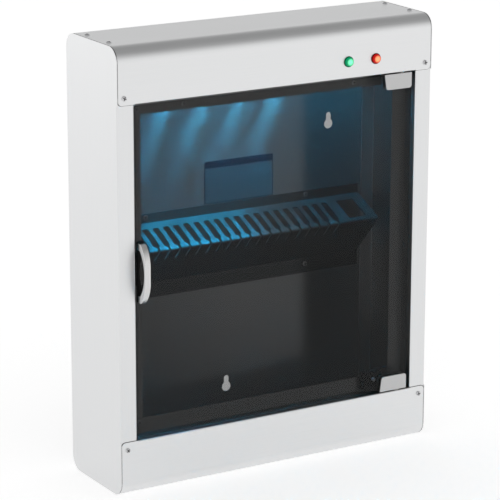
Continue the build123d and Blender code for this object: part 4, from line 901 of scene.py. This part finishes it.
def add_world():
    """A dome that is white at the horizon and grey overhead, softer to matt surfaces."""
    world = bpy.data.worlds.new("studio")
    bpy.context.scene.world = world
    world.use_nodes = True
    tree = world.node_tree
    tree.nodes.clear()
    output = tree.nodes.new("ShaderNodeOutputWorld")
    way = node(tree, "TexCoord")
    rise = node(tree, "SeparateXYZ", {0: way.outputs["Generated"]})
    dome = ramp(tree, rise.outputs["Z"], [(0.08, 1.0), (0.35, 0.78), (0.70, 0.34)])
    shown = node(tree, "Background", {"Color": dome.outputs[0], "Strength": 1.0})
    soft = node(tree, "Background", {"Color": WHITE, "Strength": WORLD_STRENGTH})
    mix = node(tree, "MixShader", {0: seen_share(tree), 1: soft.outputs[0], 2: shown.outputs[0]})
    tree.links.new(mix.outputs[0], output.inputs["Surface"])


bpy.context.scene.view_settings.view_transform = "Standard"
add_floor()
add_world()
print("floor and world ready")

# %% [markdown]
# Three wide soft boxes shape the steel: one from the upper left, a weaker one from the right, and one
# behind the left side for its edge. All three are weak, because the pale world does most of the work.


# %% Soft boxes
CABINET_MIDDLE = (0.0, 0.0, 0.3)


def add_softbox(name, place, target, size, power, colour=(1, 1, 1)):
    """A square area lamp aimed at a point."""
    data = bpy.data.lights.new(name, "AREA")
    data.shape = "SQUARE"
    data.size = size
    data.energy = power
    data.color = colour
    lamp = bpy.data.objects.new(name, data)
    bpy.context.scene.collection.objects.link(lamp)
    lamp.location = place
    aim = Vector(target) - Vector(place)
    lamp.rotation_mode = "QUATERNION"
    lamp.rotation_quaternion = aim.to_track_quat("-Z", "Y")
    return lamp


add_softbox("key_light", (-1.8, -2.2, 2.2), CABINET_MIDDLE, 1.6, 2.0)
add_softbox("fill_light", (2.0, -1.8, 1.2), CABINET_MIDDLE, 1.6, 1.0)
add_softbox("rim_light", (-1.9, 2.3, 0.7), (-0.2, 0.0, 0.3), 1.2, 2.4)
print("soft boxes ready")

# %% [markdown]
# The lamp's own light is made by strips just below the ceiling's windows. Light linking lets each
# strip reach only what it is meant for. A strong narrow beam falls on the left of the rack and a weak
# wide one on its right. A soft glow reaches every solid but not the floor, which stays white. Two
# more lamps reach only the back panel: a far one that lays a pale veil on its brushing, and a thin
# strip inside the rack's fold that keeps the slots from looking black.


# %% Light from the lamp
STRIP_LENGTH = 0.25
STRIP_WIDTH = 0.05
STRIP_Z = 0.5285
BEAM_COLOUR = (0.0, 0.54, 1.0)
FADE_COLOUR = (0.5, 0.8, 1.0)


def add_strip(name, power, spread, x, colour):
    """A strip of light below the windows of the ceiling, aimed down."""
    strip = add_softbox(name, (x, 0.0, STRIP_Z), (x, 0.0, 0.0), STRIP_LENGTH, power, colour)
    strip.data.shape = "RECTANGLE"
    strip.data.size_y = STRIP_WIDTH
    strip.data.spread = math.radians(spread)
    return strip


def light_only(lamp, pieces):
    """Lets a lamp reach only the given pieces."""
    group = bpy.data.collections.new(lamp.name + "_reach")
    for piece in pieces:
        group.objects.link(piece)
    lamp.light_linking.receiver_collection = group


rack_beam = add_strip("rack_beam", 1.4, 75, 0.01, BEAM_COLOUR)
rack_fade = add_strip("rack_fade", 0.32, 110, 0.10, FADE_COLOUR)
for beam in (rack_beam, rack_fade):
    beam.visible_diffuse = False
    light_only(beam, [rack])
air_glow = add_strip("air_glow", 0.7, 180, 0.08, LAMP_COLOUR)
air_glow.visible_glossy = False
light_only(air_glow, list(nodes.values()))
veil = add_softbox("panel_veil", (1.31, -2.0, 0.1), (0.07, 0.069, 0.45), 0.5, 5.0)
pocket = add_softbox("pocket_glow", (-0.06, 0.021, 0.300), (-0.06, 0.069, 0.270), 0.30, 0.0025)
pocket.data.shape = "RECTANGLE"
pocket.data.size_y = 0.003
for lamp in (veil, pocket):
    light_only(lamp, [nodes["back_panel"]])
print("lamp light ready")
